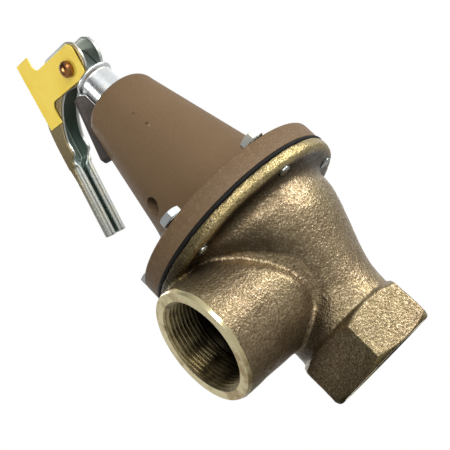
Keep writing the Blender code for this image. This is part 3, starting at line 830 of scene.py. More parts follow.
@dataclass(frozen=True)
class TurnedBronze:
    """Bronze that a tool has cut: pale, bright and finely lined, with painted shade that darkens it to near
    black deep inside the bores.
    """

    name: str
    sideways: float
    level: float
    # Where along the axis the painted shade starts, and where it is full
    shade_start: float
    depth: float
    smooth: float = 0.14
    pale: Colour = (0.73, 0.64, 0.37, 1.0)
    brown: Colour = (0.34, 0.22, 0.08, 1.0)
    # Near black of the painted shade deep inside the bores
    dark: Colour = (0.012, 0.009, 0.006, 1.0)

    def make(self, effects: Effects) -> Material:
        """Build the material.

        Args:
            effects: The shared effects.

        Returns:
            The material.
        """
        surface = Surface(self.name, Metallic=1.0)
        web = surface.web
        lines = effects.lines.use(web, sideways=self.sideways, level=self.level, count=4000.0)
        stain = effects.patch(web, size=130.0, low=0.5, high=0.66)
        wear = effects.wear.use(web, edge=0.54, corner=0.46, breakup=500.0)
        # Painted shade: the colour darkens towards near black deeper into the bore
        deep = web.remap(lines["Along"], self.shade_start, self.depth)
        colour = web.layered(self.pale, Layer(stain, self.brown, 0.75),
                             Layer(wear["Sunken"], self.brown, 0.7), Layer(deep, self.dark))
        rough = web.remap(lines["Height"], 0.3, 0.7, self.smooth, self.smooth + 0.12)
        return surface.finish(colour, rough, lines["Height"], 0.00003)


@dataclass(frozen=True)
class BonnetPaint:
    """Matt taupe-brown paint over a casting."""

    name: str
    brown: Colour = (0.168, 0.107, 0.057, 1.0)
    dark: Colour = (0.140, 0.088, 0.046, 1.0)
    dust: Colour = (0.265, 0.192, 0.125, 1.0)

    def make(self, effects: Effects) -> Material:
        """Build the material, with more dust on the flange than above it.

        Args:
            effects: The shared effects.

        Returns:
            The material.
        """
        surface = Surface(self.name, Metallic=0.0, Specular_IOR_Level=0.1)
        web = surface.web
        sand = effects.sand.use(web, grain=1100.0, lumps=350.0)
        clouds = effects.patch(web, size=30.0, low=0.35, high=0.7)
        wear = effects.wear.use(web, edge=0.53, corner=0.47, breakup=500.0)
        speckle = web.remap(web.place()["Z"], 0.1105, 0.1085, 0.15, 0.55)
        colour = web.layered(self.brown, Layer(clouds, self.dark, 0.5),
                             Layer(sand["Tops"], self.dust, speckle), Layer(wear["Raised"], self.dust, 0.75))
        rough = web.remap(sand["Height"], 0.35, 0.65, 0.56, 0.46)
        return surface.finish(colour, rough, sand["Height"], 0.00022)


@dataclass(frozen=True)
class ZincPlate:
    """Bright zinc on steel, bluish and yellow in places; a fold gets painted shade, olive outside with the
    yellow tag's reflection painted in, and dark inside.
    """

    name: str
    smooth: float = 0.24
    dull_step: float = 0.10
    fold_azimuth: float = 10.0
    # How strongly the painted shade on the fold shows
    fold_shade_share: float = 0.0
    blue: Colour = (0.84, 0.87, 0.88, 1.0)
    yellow: Colour = (0.80, 0.74, 0.52, 1.0)
    dull: Colour = (0.52, 0.54, 0.54, 1.0)
    # Painted shade on the near cheek's outer face, with the yellow tag's reflection painted in
    olive: Colour = (0.19, 0.125, 0.020, 1.0)
    # Painted shade inside the channel
    shaded: Colour = (0.23, 0.29, 0.265, 1.0)

    def make(self, effects: Effects) -> Material:
        """Build the material.

        Args:
            effects: The shared effects.

        Returns:
            The material.
        """
        surface = Surface(self.name, Metallic=1.0)
        web = surface.web
        tinge = effects.patch(web, size=60.0, low=0.48, high=0.72)
        spots = effects.patch(web, size=700.0, low=0.60, high=0.75)
        sand = effects.sand.use(web, grain=2200.0, lumps=500.0)
        wear = effects.wear.use(web, edge=0.54, corner=0.46, breakup=600.0)
        colour = web.layered(self.blue, Layer(tinge, self.yellow, 0.6), Layer(spots, self.dull, 0.15),
                             Layer(wear["Sunken"], self.dull, 0.6))
        if self.fold_shade_share:
            colour = self.folded(web, colour)
        rough = web.remap(sand["Height"], 0.35, 0.65, self.smooth, self.smooth + self.dull_step)
        return surface.finish(colour, rough, sand["Height"], 0.000003)

    def folded(self, web: Web, colour: NodeSocket) -> NodeSocket:
        """Paint shade on the fold: olive on the outside of the near cheek, with the yellow tag's reflection
        painted in, and dark on the inside of the channel.

        Args:
            web: The material's web.
            colour: The colour without the fold.

        Returns:
            The colour with it.
        """
        turn = math.radians(self.fold_azimuth)
        place = web.place()
        level = place["Z"]
        across = web.plus(web.product(place["X"], math.cos(turn)), web.product(place["Y"], math.sin(turn)))
        # Painted shade and painted reflection of the tag on the near cheek's outer face, faded by height
        outside = web.product(web.remap(across, 0.0059, 0.0066), web.remap(level, 0.160, 0.204),
                              web.remap(level, 0.240, 0.230))
        # Painted shade inside the channel and the slot between the lobes, faded towards the ears' tops
        limit = web.remap(level, 0.198, 0.205, 0.0016, 0.0050)
        inside = web.remap(web.minus(limit, web.math("ABSOLUTE", across)), 0.0, 0.0004)
        inside = web.product(inside, web.remap(level, 0.240, 0.224))
        return web.layered(colour, Layer(outside, self.olive, self.fold_shade_share),
                           Layer(inside, self.shaded, self.fold_shade_share))


@dataclass(frozen=True)
class PlainMetal:
    """A turned or plated metal with a soft tarnish."""

    name: str
    clean: Colour
    stained: Colour
    smooth: float
    dull: float

    def make(self, effects: Effects) -> Material:
        """Build the material.

        Args:
            effects: The shared effects.

        Returns:
            The material.
        """
        surface = Surface(self.name, Metallic=1.0)
        web = surface.web
        lines = effects.lines.use(web, sideways=0.0, level=0.0, count=3000.0)
        stain = effects.patch(web, size=160.0, low=0.42, high=0.7)
        wear = effects.wear.use(web, edge=0.54, corner=0.47, breakup=700.0)
        colour = web.layered(self.clean, Layer(stain, self.stained, 0.7), Layer(wear["Raised"], self.clean),
                             Layer(wear["Sunken"], self.stained))
        rough = web.remap(stain, 0.0, 1.0, self.smooth, self.dull)
        return surface.finish(colour, rough, lines["Height"], 0.00004)


@dataclass(frozen=True)
class TagPaint:
    """Golden yellow enamel on a thin plate."""

    yellow: Colour = (0.840, 0.600, 0.070, 1.0)
    pale: Colour = (0.880, 0.680, 0.120, 1.0)
    worn: Colour = (0.600, 0.420, 0.080, 1.0)

    def make(self, effects: Effects) -> Material:
        """Build the material.

        Args:
            effects: The shared effects.

        Returns:
            The material.
        """
        surface = Surface("Tag paint", Metallic=0.0, Coat_Roughness=0.3, Specular_IOR_Level=0.25)
        web = surface.web
        clouds = effects.patch(web, size=50.0, low=0.35, high=0.7)
        scuffs = effects.patch(web, size=900.0, low=0.64, high=0.72)
        sand = effects.sand.use(web, grain=2500.0, lumps=500.0)
        colour = web.layered(self.yellow, Layer(clouds, self.pale), Layer(scuffs, self.worn, 0.4))
        web.feed(surface.shader.inputs["Coat Weight"], web.product(clouds, 0.15))
        rough = web.remap(sand["Height"], 0.35, 0.65, 0.34, 0.46)
        return surface.finish(colour, rough, sand["Height"], 0.00004)


@dataclass(frozen=True)
class BlackRubber:
    """Dull black rubber with a faint grain."""

    black: Colour = (0.012, 0.012, 0.012, 1.0)
    grey: Colour = (0.024, 0.023, 0.021, 1.0)

    def make(self, effects: Effects) -> Material:
        """Build the material.

        Args:
            effects: The shared effects.

        Returns:
            The material.
        """
        surface = Surface("Black rubber", Metallic=0.0, Specular_IOR_Level=0.15)
        web = surface.web
        sand = effects.sand.use(web, grain=1800.0, lumps=400.0)
        bloom = effects.patch(web, size=90.0, low=0.5, high=0.75)
        rough = web.remap(sand["Height"], 0.3, 0.7, 0.55, 0.75)
        colour = web.layered(self.black, Layer(bloom, self.grey, 0.5))
        return surface.finish(colour, rough, sand["Height"], 0.0001)


class Finishes:
    """Every finish of the valve, made once."""

    def __init__(self, effects: Effects) -> None:
        """Build the materials.

        Args:
            effects: The shared effects.
        """
        outlet = {"sideways": 1.0, "level": OUTLET_LEVEL}
        inlet = {"sideways": 0.0, "level": 0.0}
        # The bores' tones are darker for oil and also as painted shade inside the bores; turned bronze also
        # darkens deep along its axis as painted shade
        oiled_and_shaded = {"smooth": 0.30, "pale": (0.44, 0.36, 0.19, 1.0), "brown": (0.05, 0.035, 0.018, 1.0)}
        self.bronze = CastBronze().make(effects)
        self.outlet_cut = TurnedBronze("Turned bronze at the outlet", shade_start=0.060, depth=0.040,
                                       **outlet).make(effects)
        self.inlet_cut = TurnedBronze("Turned bronze at the inlet", shade_start=0.006, depth=0.026,
                                      **inlet).make(effects)
        self.outlet_bore = TurnedBronze("Oiled bronze in the outlet with painted shade", shade_start=0.065, depth=0.047,
                                        **outlet, **oiled_and_shaded).make(effects)
        self.inlet_bore = TurnedBronze("Oiled bronze in the inlet with painted shade", shade_start=0.001, depth=0.019,
                                       **inlet, **oiled_and_shaded).make(effects)
        self.paint = BonnetPaint("Bonnet paint").make(effects)
        # A darker copy of the bonnet paint for the lug: painted shade
        self.lug_shaded_paint = BonnetPaint("Lug paint darkened as painted shade", (0.060, 0.050, 0.045, 1.0), (0.042, 0.037, 0.036, 1.0),
                                     (0.110, 0.095, 0.085, 1.0)).make(effects)
        self.zinc = ZincPlate("Zinc plate").make(effects)
        self.bolt_zinc = ZincPlate("Zinc plate on the bolts", smooth=0.50, dull_step=0.15,
                                   blue=(0.56, 0.58, 0.59, 1.0)).make(effects)
        # The lever's zinc carries the fold's painted shade
        self.lever = ZincPlate("Zinc plate on the lever with painted shade", smooth=0.34, fold_shade_share=0.85,
                               blue=(0.58, 0.61, 0.57, 1.0)).make(effects)
        self.tag = TagPaint().make(effects)
        self.rubber = BlackRubber().make(effects)
        self.copper = PlainMetal("Copper plate", (0.38, 0.17, 0.06, 1.0), (0.14, 0.06, 0.025, 1.0),
                                 0.18, 0.34).make(effects)
        self.steel = PlainMetal("Turned steel", (0.36, 0.38, 0.37, 1.0), (0.17, 0.16, 0.13, 1.0),
                                0.25, 0.42).make(effects)
        self.brass = PlainMetal("Turned brass", (0.72, 0.55, 0.25, 1.0), (0.36, 0.23, 0.09, 1.0),
                                0.25, 0.40).make(effects)


# The valve's sub-assemblies


@dataclass
class Flanges:
    """Sizes that the two flanges, the diaphragm and the bolts share."""

    radius: float = FLANGE_RADIUS
    bolt_circle: float = 0.0518
    bolt_count: int = 6
    first_bolt: float = 31.5
    bolt_radius: float = 0.003175
    hole_gap: float = 0.0003
    body_top: float = 0.0968
    body_under: float = FLANGE_UNDER
    joint: float = 0.0990
    bonnet_top: float = 0.1094

    def around(self, make: Callable[[], Mesh]) -> list[Mesh]:
        """Make one mesh at each bolt.

        Args:
            make: Makes a mesh on the valve's axis.

        Returns:
            The meshes, in order round the flange.
        """
        out = Matrix.Translation((self.bolt_circle, 0, 0))
        turns = [self.first_bolt + 360 / self.bolt_count * i for i in range(self.bolt_count)]
        return [moved(make(), out, about_z(turn)) for turn in turns]

    def drill(self, mesh: Mesh, bottom: float, top: float) -> Mesh:
        """Cut the ring of bolt holes through a mesh.

        Args:
            mesh: The mesh to drill; the holes get its first material.
            bottom: Level where the holes start.
            top: Level where they end.

        Returns:
            The drilled mesh.
        """
        reach = self.bolt_radius + self.hole_gap
        for hole in self.around(lambda: rod(reach, bottom, top, 32)):
            mesh = cut(mesh, hole, mesh.materials[0])
        return mesh


@dataclass
class Casting:
    """The bronze body: hexagon, neck, bell, flange and outlet branch, with its two threaded bores."""

    flanges: Flanges
    hex_flat: float = 0.0296
    hex_height: float = 0.0246
    hex_corner_turn: float = 55.0
    hex_top_slope: float = 0.72
    hex_end_radius: float = 0.0290
    hex_end_slope: float = 0.56
    hex_end_reach: float = 0.045
    neck_radius: float = 0.0284
    neck_end: float = 0.006
    bell_start: float = 0.0290
    bell_end: float = 0.0856
    bell_radius: float = 0.0450
    flange_round: float = 0.0028
    flange_root: float = 0.0050
    wall: float = 0.0052
    outlet_level: float = OUTLET_LEVEL
    outlet_start: float = 0.004
    outlet_reach: float = 0.0660
    outlet_radius: float = OUTLET_RADIUS
    outlet_chamfer: float = 0.0030
    outlet_step: float = 0.0008
    crest_radius: float = 0.0229
    thread_depth: float = 0.0013
    thread_pitch: float = 0.0254 / 11.5
    thread_taper: float = 1 / 32
    thread_length: float = 0.0200
    thread_runout: float = 0.0026
    mouth_radius: float = 0.02475
    mouth_slope: float = 1.1
    passage: float = 0.0205
    passage_end: float = 0.010
    inlet_passage: float = 0.0170
    seat_pocket: float = 0.0203
    seat_floor: float = 0.0303
    chamber_floor: float = 0.0340
    voxel: float = 0.00079
    skin_rounds: int = 2
    skin_share: float = 0.4
    junction_start: float = 0.012
    junction_width: float = 0.005
    junction_rounds: int = 22
    junction_share: float = 0.5
    valley_depth: float = 0.0040
    valley_width: float = 0.0180
    valley_start: float = 0.004
    valley_ease: float = 0.018
    valley_bottom: float = 0.030
    valley_bottom_ease: float = 0.012
    valley_top_ease: float = 0.010
    thin: float = 0.001
    swells: tuple[Pair, ...] = ((0.011, 0.00030), (0.0028, 0.00010))
    spare: float = 0.003

    def bell(self, level: np.ndarray | float) -> np.ndarray | float:
        """Radius of the body where the neck swells into the bell."""
        share = np.clip((level - self.bell_start) / (self.bell_end - self.bell_start), 0.0, 1.0)
        return self.neck_radius + (self.bell_radius - self.neck_radius) * share * share * (3 - 2 * share)

    def off_bell(self, points: np.ndarray) -> np.ndarray:
        """How far points lie from the bell's surface."""
        return np.abs(np.hypot(points[:, 0], points[:, 1]) - self.bell(points[:, 2]))

    def off_branch(self, points: np.ndarray) -> np.ndarray:
        """How far points lie outside the branch's surface."""
        return np.hypot(points[:, 1], points[:, 2] - self.outlet_level) - self.outlet_radius

    def rough(self) -> Mesh:
        """Make the casting before it is machined, with soft corners.

        Returns:
            Its mesh.
        """
        top, under = self.flanges.body_top, self.flanges.body_under
        edge, root = self.flange_round, self.flange_root
        outside = [(0, top), (self.flanges.radius, top)]
        outside += arc((self.flanges.radius - edge, under + edge), (edge, edge), 0, -90, 6)
        outside += arc((self.bell_radius + root, self.bell_end), (root, root), 90, 180, 6)
        outside += [(self.bell(z), z) for z in np.linspace(self.bell_end, self.bell_start, 24)[1:]]
        outside += [(self.neck_radius, self.neck_end), (0, self.neck_end)]
        mesh = combined(turned(outside, 128), self.inlet_end(), Blend.JOIN)
        branch = rod(self.outlet_radius, self.outlet_start, self.outlet_reach + self.spare, 96)
        mesh = combined(mesh, self.to_outlet(branch), Blend.JOIN)
        mesh = relaxed(remeshed(mesh, self.voxel), self.skin_rounds, self.skin_share)
        mesh = self.dented(mesh)
        mesh = relaxed(mesh, self.junction_rounds, self.junction(points_of(mesh)))
        for size, depth in self.swells:
            mesh = uneven(mesh, size, depth)
        return mesh

    def inlet_end(self) -> Mesh:
        """Make the hexagon with its upper corners chamfered, run past its end face.

        Returns:
            Its mesh.
        """
        reach = self.hex_flat / math.cos(math.pi / 6) + self.spare
        block = hexagon(2 * self.hex_flat, -self.spare, self.hex_height, self.hex_corner_turn)
        barrel = turned([(0, self.hex_height), (self.hex_flat, self.hex_height),
                         (reach, self.hex_height - self.hex_top_slope * (reach - self.hex_flat)),
                         (reach, -2 * self.spare), (0, -2 * self.spare)], 96)
        return combined(block, barrel, Blend.SHARE)

    def junction(self, points: np.ndarray) -> np.ndarray:
        """Find how much points soften: most where the branch meets the bell and the neck.

        Args:
            points: The casting's points.

        Returns:
            A share for each point.
        """
        off = self.off_bell(points) + np.abs(self.off_branch(points))
        near = np.exp(-(off / self.junction_width) ** 2)
        near *= points[:, 0] > self.junction_start
        near *= points[:, 2] < self.flanges.body_under - self.thin
        return self.junction_share * near

    def dented(self, mesh: Mesh) -> Mesh:
        """Press the bell in round the branch, so that a valley runs between them.

        Args:
            mesh: The casting.

        Returns:
            The same mesh.
        """
        points = points_of(mesh)
        x, y, z = points.T
        off_branch = self.off_branch(points)
        share = smooth_step(1 - off_branch / self.valley_width)
        share *= (self.off_bell(points) < self.thin) * (off_branch > 0)
        share *= smooth_step((x - self.valley_start) / self.valley_ease)
        low = smooth_step((z - self.valley_bottom) / self.valley_bottom_ease)
        share *= low * smooth_step((self.bell_end + 2 * self.thin - z) / self.valley_top_ease)
        points[:, :2] *= (1 - self.valley_depth * share / np.maximum(np.hypot(x, y), 0.01))[:, None]
        return with_points(mesh, points)

    def to_outlet(self, mesh: Mesh) -> Mesh:
        """Lay a shape turned about Z along the outlet's axis."""
        return moved(mesh, ALONG_X, raised(self.outlet_level))

    def threaded_bore(self, throat: float, throat_end: float) -> Mesh:
        """Make a cutter for a threaded mouth that opens at level 0 and runs down to a throat.

        Args:
            throat: Radius of the plain passage behind the thread.
            throat_end: How deep the passage runs.

        Returns:
            The cutter, along Z, with its mouth up.
        """
        sides, rows = 96, 12
        turns = np.arange(sides) / sides
        depths = np.arange(0, self.thread_length, self.thread_pitch / rows)
        rings = [(np.full(sides, self.mouth_radius), level) for level in (self.spare, 0.0)]
        for depth in depths[1:]:
            phase = (depth / self.thread_pitch - turns) % 1.0
            ridge = np.clip(np.abs(phase - 0.5) * 2.5 - 0.12, 0.0, 1.0)
            fade = min(1.0, (self.thread_length - depth) / (1.5 * self.thread_pitch))
            radius = self.crest_radius - depth * self.thread_taper + self.thread_depth * fade * ridge
            sink = self.mouth_radius - depth * self.mouth_slope
            rings.append((np.maximum(radius, sink), -depth))
        for depth in (self.thread_length + self.thread_runout, throat_end):
            rings.append((np.full(sides, throat), -depth))
        return lofted([[(r * math.cos(2 * math.pi * t), r * math.sin(2 * math.pi * t), level)
                        for r, t in zip(radii, turns)] for radii, level in rings])

    def machined(self, mesh: Mesh, finishes: Finishes) -> Mesh:
        """Cut the end faces, chamfers, bores, chamber and bolt holes.

        Args:
            mesh: The rough casting.
            finishes: The valve's materials.

        Returns:
            The finished body.
        """
        dressed(mesh, finishes.bronze)
        far = self.outlet_radius + self.spare
        reach, edge = self.outlet_reach, self.outlet_reach - self.outlet_chamfer
        past = reach + 0.05
        face = turned([(0, past), (far, past), (far, edge - 0.0025), (self.outlet_radius + 0.0004, edge),
                       (self.outlet_radius - self.outlet_step, reach), (0, reach)], 128)
        mesh = cut(mesh, self.to_outlet(face), finishes.outlet_cut)
        wide, below = self.hex_end_reach, -0.02
        rise = (wide - self.hex_end_radius) * self.hex_end_slope
        end = turned([(0, 0), (self.hex_end_radius, 0), (wide, rise), (wide, below), (0, below)], 128)
        mesh = cut(mesh, end, finishes.inlet_cut)

        top = self.flanges.body_top + self.spare
        inside = [(0, top), (self.bell_radius - self.wall, top)]
        inside += [(self.bell(z) - self.wall, z) for z in np.linspace(self.bell_end, self.chamber_floor, 16)]
        inside += [(self.seat_pocket, self.chamber_floor), (self.seat_pocket, self.seat_floor),
                   (0, self.seat_floor)]
        mesh = cut(mesh, turned(inside, 96), finishes.bronze)

        inlet = self.threaded_bore(self.inlet_passage, self.seat_floor + self.thin)
        mesh = cut(mesh, moved(inlet, Matrix.Rotation(math.pi, 4, "X")), finishes.inlet_bore)
        outlet = self.threaded_bore(self.passage, self.outlet_reach - self.passage_end)
        outlet = self.to_outlet(moved(outlet, raised(self.outlet_reach)))
        mesh = cut(mesh, outlet, finishes.outlet_bore)
        return self.flanges.drill(mesh, self.flanges.body_under - self.spare, top)

    def build(self, finishes: Finishes) -> None:
        """Make the body and put it in place."""
        mesh = self.machined(self.rough(), finishes)
        placed("bronze_body", mesh, Body.BASE, Slot.BRONZE, ["valve_body"], 40.0)


@dataclass
class Bonnet:
    """The painted cone over the spring, with its flange, lug, vent and two small pits."""

    flanges: Flanges
    inset: float = 0.0006
    edge_round: float = 0.0016
    edge_break: float = 0.0002
    cone_base: float = 0.1304
    cone_base_radius: float = 0.0332
    cone_top: float = 0.1892
    cone_top_radius: float = 0.0217
    crown: float = 0.1972
    crown_flat: float = 0.0134
    flare_reach: float = 0.0060
    wall: float = 0.0055
    ceiling: float = 0.1877
    mouth_radius: float = 0.0390
    mouth_top: float = 0.1039
    screw_hole: float = 0.0063
    vent_radius: float = 0.0050
    vent_azimuth: float = 5.0
    vent_level: float = 0.1317
    vent_out: float = 0.010
    vent_in: float = 0.012
    lug_azimuth: float = -34.0
    lug_half: float = 0.0036
    lug_inner: float = 0.0101
    lug_notch: float = 0.0026
    lug_top: float = 0.2128
    lug_top_width: float = 0.0038
    lug_foot: float = 0.1765
    lug_foot_reach: float = 0.0050
    lug_notch_round: float = 0.0008
    lug_back_round: float = 0.0014
    pits: tuple[tuple[float, float, float], ...] = ((58.3, 0.1722, 0.0006), (60.1, 0.1625, 0.0009))
    spare: float = 0.003

    def cone(self, level: float) -> float:
        """Radius of the cone at a level."""
        slope = (self.cone_base_radius - self.cone_top_radius) / (self.cone_top - self.cone_base)
        return self.cone_base_radius - slope * (level - self.cone_base)

    def outside(self) -> Profile:
        """Draw the bonnet's outer profile.

        Returns:
            Its points, crown to joint.
        """
        radius, edge = self.flanges.radius - self.inset, self.edge_round
        top, joint = self.flanges.bonnet_top, self.flanges.joint
        shoulder = (self.cone_top_radius - self.crown_flat, self.crown - self.cone_top)
        profile = [(0, self.crown), (self.crown_flat * 0.8, self.crown)]
        profile += arc((self.crown_flat, self.cone_top), shoulder, 90, 0, 16)
        profile += [(self.cone(z), z) for z in np.linspace(self.cone_top, self.cone_base, 32)[1:]]
        drop = self.cone_base - top
        for angle in np.radians(np.linspace(0, 90, 20))[1:]:
            level = self.cone_base - drop * math.sin(angle)
            profile.append((self.cone(level) + self.flare_reach * (1 - math.cos(angle)), level))
        profile.append((radius - 2 * edge, top))
        profile += arc((radius - edge, top - edge), (edge, edge), 90, 0, 6)
        return profile + [(radius, joint + self.edge_break), (radius - self.edge_break, joint), (0, joint)]

    def inside(self) -> Mesh:
        """Make a cutter for the room that holds the spring.

        Returns:
            The cutter.
        """
        joint = self.flanges.joint - self.spare
        eaves = self.ceiling - self.wall / 2
        shoulder = self.mouth_top + self.wall / 2
        return turned([(0, self.ceiling), (self.crown_flat, self.ceiling),
                       (self.cone(eaves) - self.wall, eaves), (self.cone(shoulder) - self.wall, shoulder),
                       (self.mouth_radius, self.mouth_top), (self.mouth_radius, joint), (0, joint)], 64)

    def lug(self) -> Mesh:
        """Make the lug that stands beside the cap.

        Returns:
            Its mesh.
        """
        small, large = self.lug_notch_round, self.lug_back_round
        notched = self.lug_inner + self.lug_notch
        foot = self.cone(self.lug_foot)
        outline = rounded([(self.lug_inner, self.ceiling, 0),
                           (self.lug_inner, self.lug_top - self.lug_notch, small),
                           (notched, self.lug_top, small),
                           (notched + self.lug_top_width, self.lug_top, large),
                           (foot + self.lug_foot_reach, self.lug_foot, large),
                           (foot - self.wall / 2, self.lug_foot - self.wall / 2, 0)])
        mesh = bevelled(prism(outline, -self.lug_half, self.lug_half), 0.0009, 3)
        return moved(mesh, about_z(self.lug_azimuth))

    def vent(self) -> Mesh:
        """Make a cutter for the vent in the cone's foot.

        Returns:
            The cutter.
        """
        outer = self.cone(self.vent_level)
        hole = rod(self.vent_radius, outer - self.vent_in, outer + self.vent_out, 48)
        return moved(hole, about_z(self.vent_azimuth) @ raised(self.vent_level) @ ALONG_X)

    def pit(self, azimuth: float, level: float, radius: float) -> Mesh:
        """A cutter for a small pit that the sand left in the cone."""
        ball = turned([(0, radius), *arc((0, 0), (radius, radius), 90, -90, 8)[1:-1], (0, -radius)], 16)
        return moved(ball, about_z(azimuth) @ Matrix.Translation((self.cone(level), 0, level)))

    def build(self, finishes: Finishes) -> None:
        """Make the bonnet and put it in place.

        Args:
            finishes: The valve's materials.
        """
        mesh = dressed(turned(self.outside(), 160), finishes.paint)
        # The lug gets the darker paint, which is painted shade
        mesh = combined(mesh, dressed(self.lug(), finishes.lug_shaded_paint), Blend.JOIN)
        screw_hole = rod(self.screw_hole, self.ceiling - self.spare, self.crown + self.spare, 48)
        for tool in (self.inside(), screw_hole, self.vent(), *(self.pit(*pit) for pit in self.pits)):
            mesh = cut(mesh, tool, finishes.paint)
        mesh = self.flanges.drill(mesh, self.flanges.joint - self.spare, self.flanges.bonnet_top + self.spare)
        placed("bonnet_casting", mesh, Body.BASE, Slot.IRON, ["bonnet"], 32.0)


@dataclass
class Gasket:
    """The diaphragm: a ring whose edge swells out between the flanges, and the disc that its plates grip."""

    flanges: Flanges
    bottom: float = 0.0969
    top: float = 0.0989
    hole: float = 0.0043
    roll_start: float = 0.0290
    roll_end: float = 0.0385
    roll_rise: float = 0.0022
    swell: float = 0.0006
    seam: float = 0.0002
    spare: float = 0.001

    def build(self, finishes: Finishes) -> None:
        """Make the diaphragm and put it in place.

        Args:
            finishes: The valve's materials.
        """
        middle, half = (self.roll_start + self.roll_end) / 2, (self.roll_end - self.roll_start) / 2
        roll = (half, self.roll_rise)
        edge = (self.flanges.radius - 2 * self.swell, (self.top + self.bottom) / 2)
        profile = arc((middle, self.top), roll, 180, 0, 12)
        profile += arc(edge, (2 * self.swell, (self.top - self.bottom) / 2), 90, -90, 8)
        profile += arc((middle, self.bottom), roll, 0, 180, 12)
        ring = dressed(turned(profile, 144), finishes.rubber)
        ring = self.flanges.drill(ring, self.bottom - self.spare, self.top + self.spare)
        placed("diaphragm_ring", ring, Body.BASE, Slot.RUBBER, ["diaphragm"])
        reach = self.roll_start - self.seam
        disc = turned([(self.hole, self.top), (reach, self.top), (reach, self.bottom),
                       (self.hole, self.bottom)], 96)
        placed("diaphragm_disc", dressed(disc, finishes.rubber), Body.STEM, Slot.RUBBER, ["diaphragm"])


@dataclass
class CoilSpring:
    """The coil spring between the diaphragm's upper plate and its button."""

    coil_radius: float = 0.0155
    wire_radius: float = 0.0025
    bottom: float = 0.1030
    top: float = 0.1716
    turns: float = 6.5
    steps: int = 36
    wire_sides: int = 16
    lift: float = 0.00293

    def build(self, finishes: Finishes) -> None:
        """Make the spring and put it in place on the base.

        Args:
            finishes: The valve's materials.
        """
        levels = np.linspace(self.bottom + self.wire_radius, self.top - self.wire_radius,
                             int(self.turns * self.steps) + 1)
        section = arc((self.coil_radius, 0), (self.wire_radius,) * 2, 0, 360, self.wire_sides)[:-1]
        rings = []
        for i, level in enumerate(levels):
            turn = 2 * math.pi * i / self.steps
            rings.append([(r * math.cos(turn), r * math.sin(turn), level + rise) for r, rise in section])
        coil = dressed(lofted(rings), finishes.steel)
        piece = placed("coil_spring", coil, Body.BASE, Slot.STEEL, ["spring"])
        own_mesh(piece)


@dataclass
class Bolts:
    """The hexagon bolts through the flanges."""

    flanges: Flanges
    flats: float = 0.0111
    height: float = 0.0042
    gap: float = 0.0003
    point: float = 0.0012
    point_share: float = 0.6
    chamfer: float = 0.55
    flat_share: float = 0.97
    washer_face: float = 0.0004
    washer_share: float = 0.47
    spare: float = 0.001

    def bolt(self, finishes: Finishes) -> Mesh:
        """Make one bolt on the valve's axis, plated on its head and dull on its shank.

        Args:
            finishes: The valve's materials.

        Returns:
            Its mesh.
        """
        seat = self.flanges.bonnet_top + self.gap
        top = seat + self.height
        reach = self.flats / 2 / math.cos(math.pi / 6) + self.spare
        flat = self.flats / 2 * self.flat_share
        crown = turned([(0, top), (flat, top), (reach, top - self.chamfer * (reach - flat)),
                        (reach, seat - self.spare), (0, seat - self.spare)], 72)
        block = hexagon(self.flats, seat + self.washer_face, top, 30.0)
        head = bevelled(combined(block, crown, Blend.SHARE), 0.00025, 2, 0.5)
        radius, end = self.flanges.bolt_radius, self.flanges.body_under - self.point
        washer = self.flats * self.washer_share
        shank = turned([(0, seat + self.height / 2), (radius, seat + self.height / 2),
                        (radius, seat + self.washer_face), (washer, seat + self.washer_face), (washer, seat),
                        (radius, seat), (radius, end + self.point / 2), (radius * self.point_share, end),
                        (0, end)], 48)
        return combined(dressed(head, finishes.bolt_zinc), dressed(shank, finishes.steel), Blend.JOIN)

    def build(self, finishes: Finishes) -> None:
        """Make each bolt and put it in place."""
        for i, mesh in enumerate(self.flanges.around(lambda: self.bolt(finishes)), start=1):
            placed(f"hex_bolt_{i}", mesh, Body.BASE, Slot.ZINC, [f"flange_bolt_{i}"], 15.0)


@dataclass
class Cap:
    """The pressed cap with its rolled rim."""

    radius: float = 0.0098
    wall: float = 0.0012
    bottom: float = 0.1975
    crest: float = 0.2158
    rim_radius: float = 0.0116
    rim_height: float = 0.0034
    bead: float = 0.0011
    stem_hole: float = 0.0045

    def build(self, finishes: Finishes) -> None:
        """Make the cap and put it in place.

        Args:
            finishes: The valve's materials.
        """
        flare, ceiling = self.crest - self.rim_height, self.crest - self.wall
        bead, inner = self.bead, self.radius - self.wall
        profile = [(self.stem_hole, self.crest)]
        profile += arc((self.rim_radius - bead, self.crest - bead), (bead, bead), 90, -60, 12)
        profile += arc((self.radius + 0.0010, flare - 0.0004), (0.0010, 0.0012), 100, 180, 6)
        profile += [(self.radius, level) for level in np.linspace(flare - 0.001, self.bottom + 0.0004, 12)]
        profile += [(self.radius - 0.0003, self.bottom), (inner, self.bottom), (inner, ceiling),
                    (self.stem_hole, ceiling)]
        placed("pressed_cap", dressed(turned(profile, 96), finishes.zinc), Body.BASE, Slot.ZINC, ["cap"])


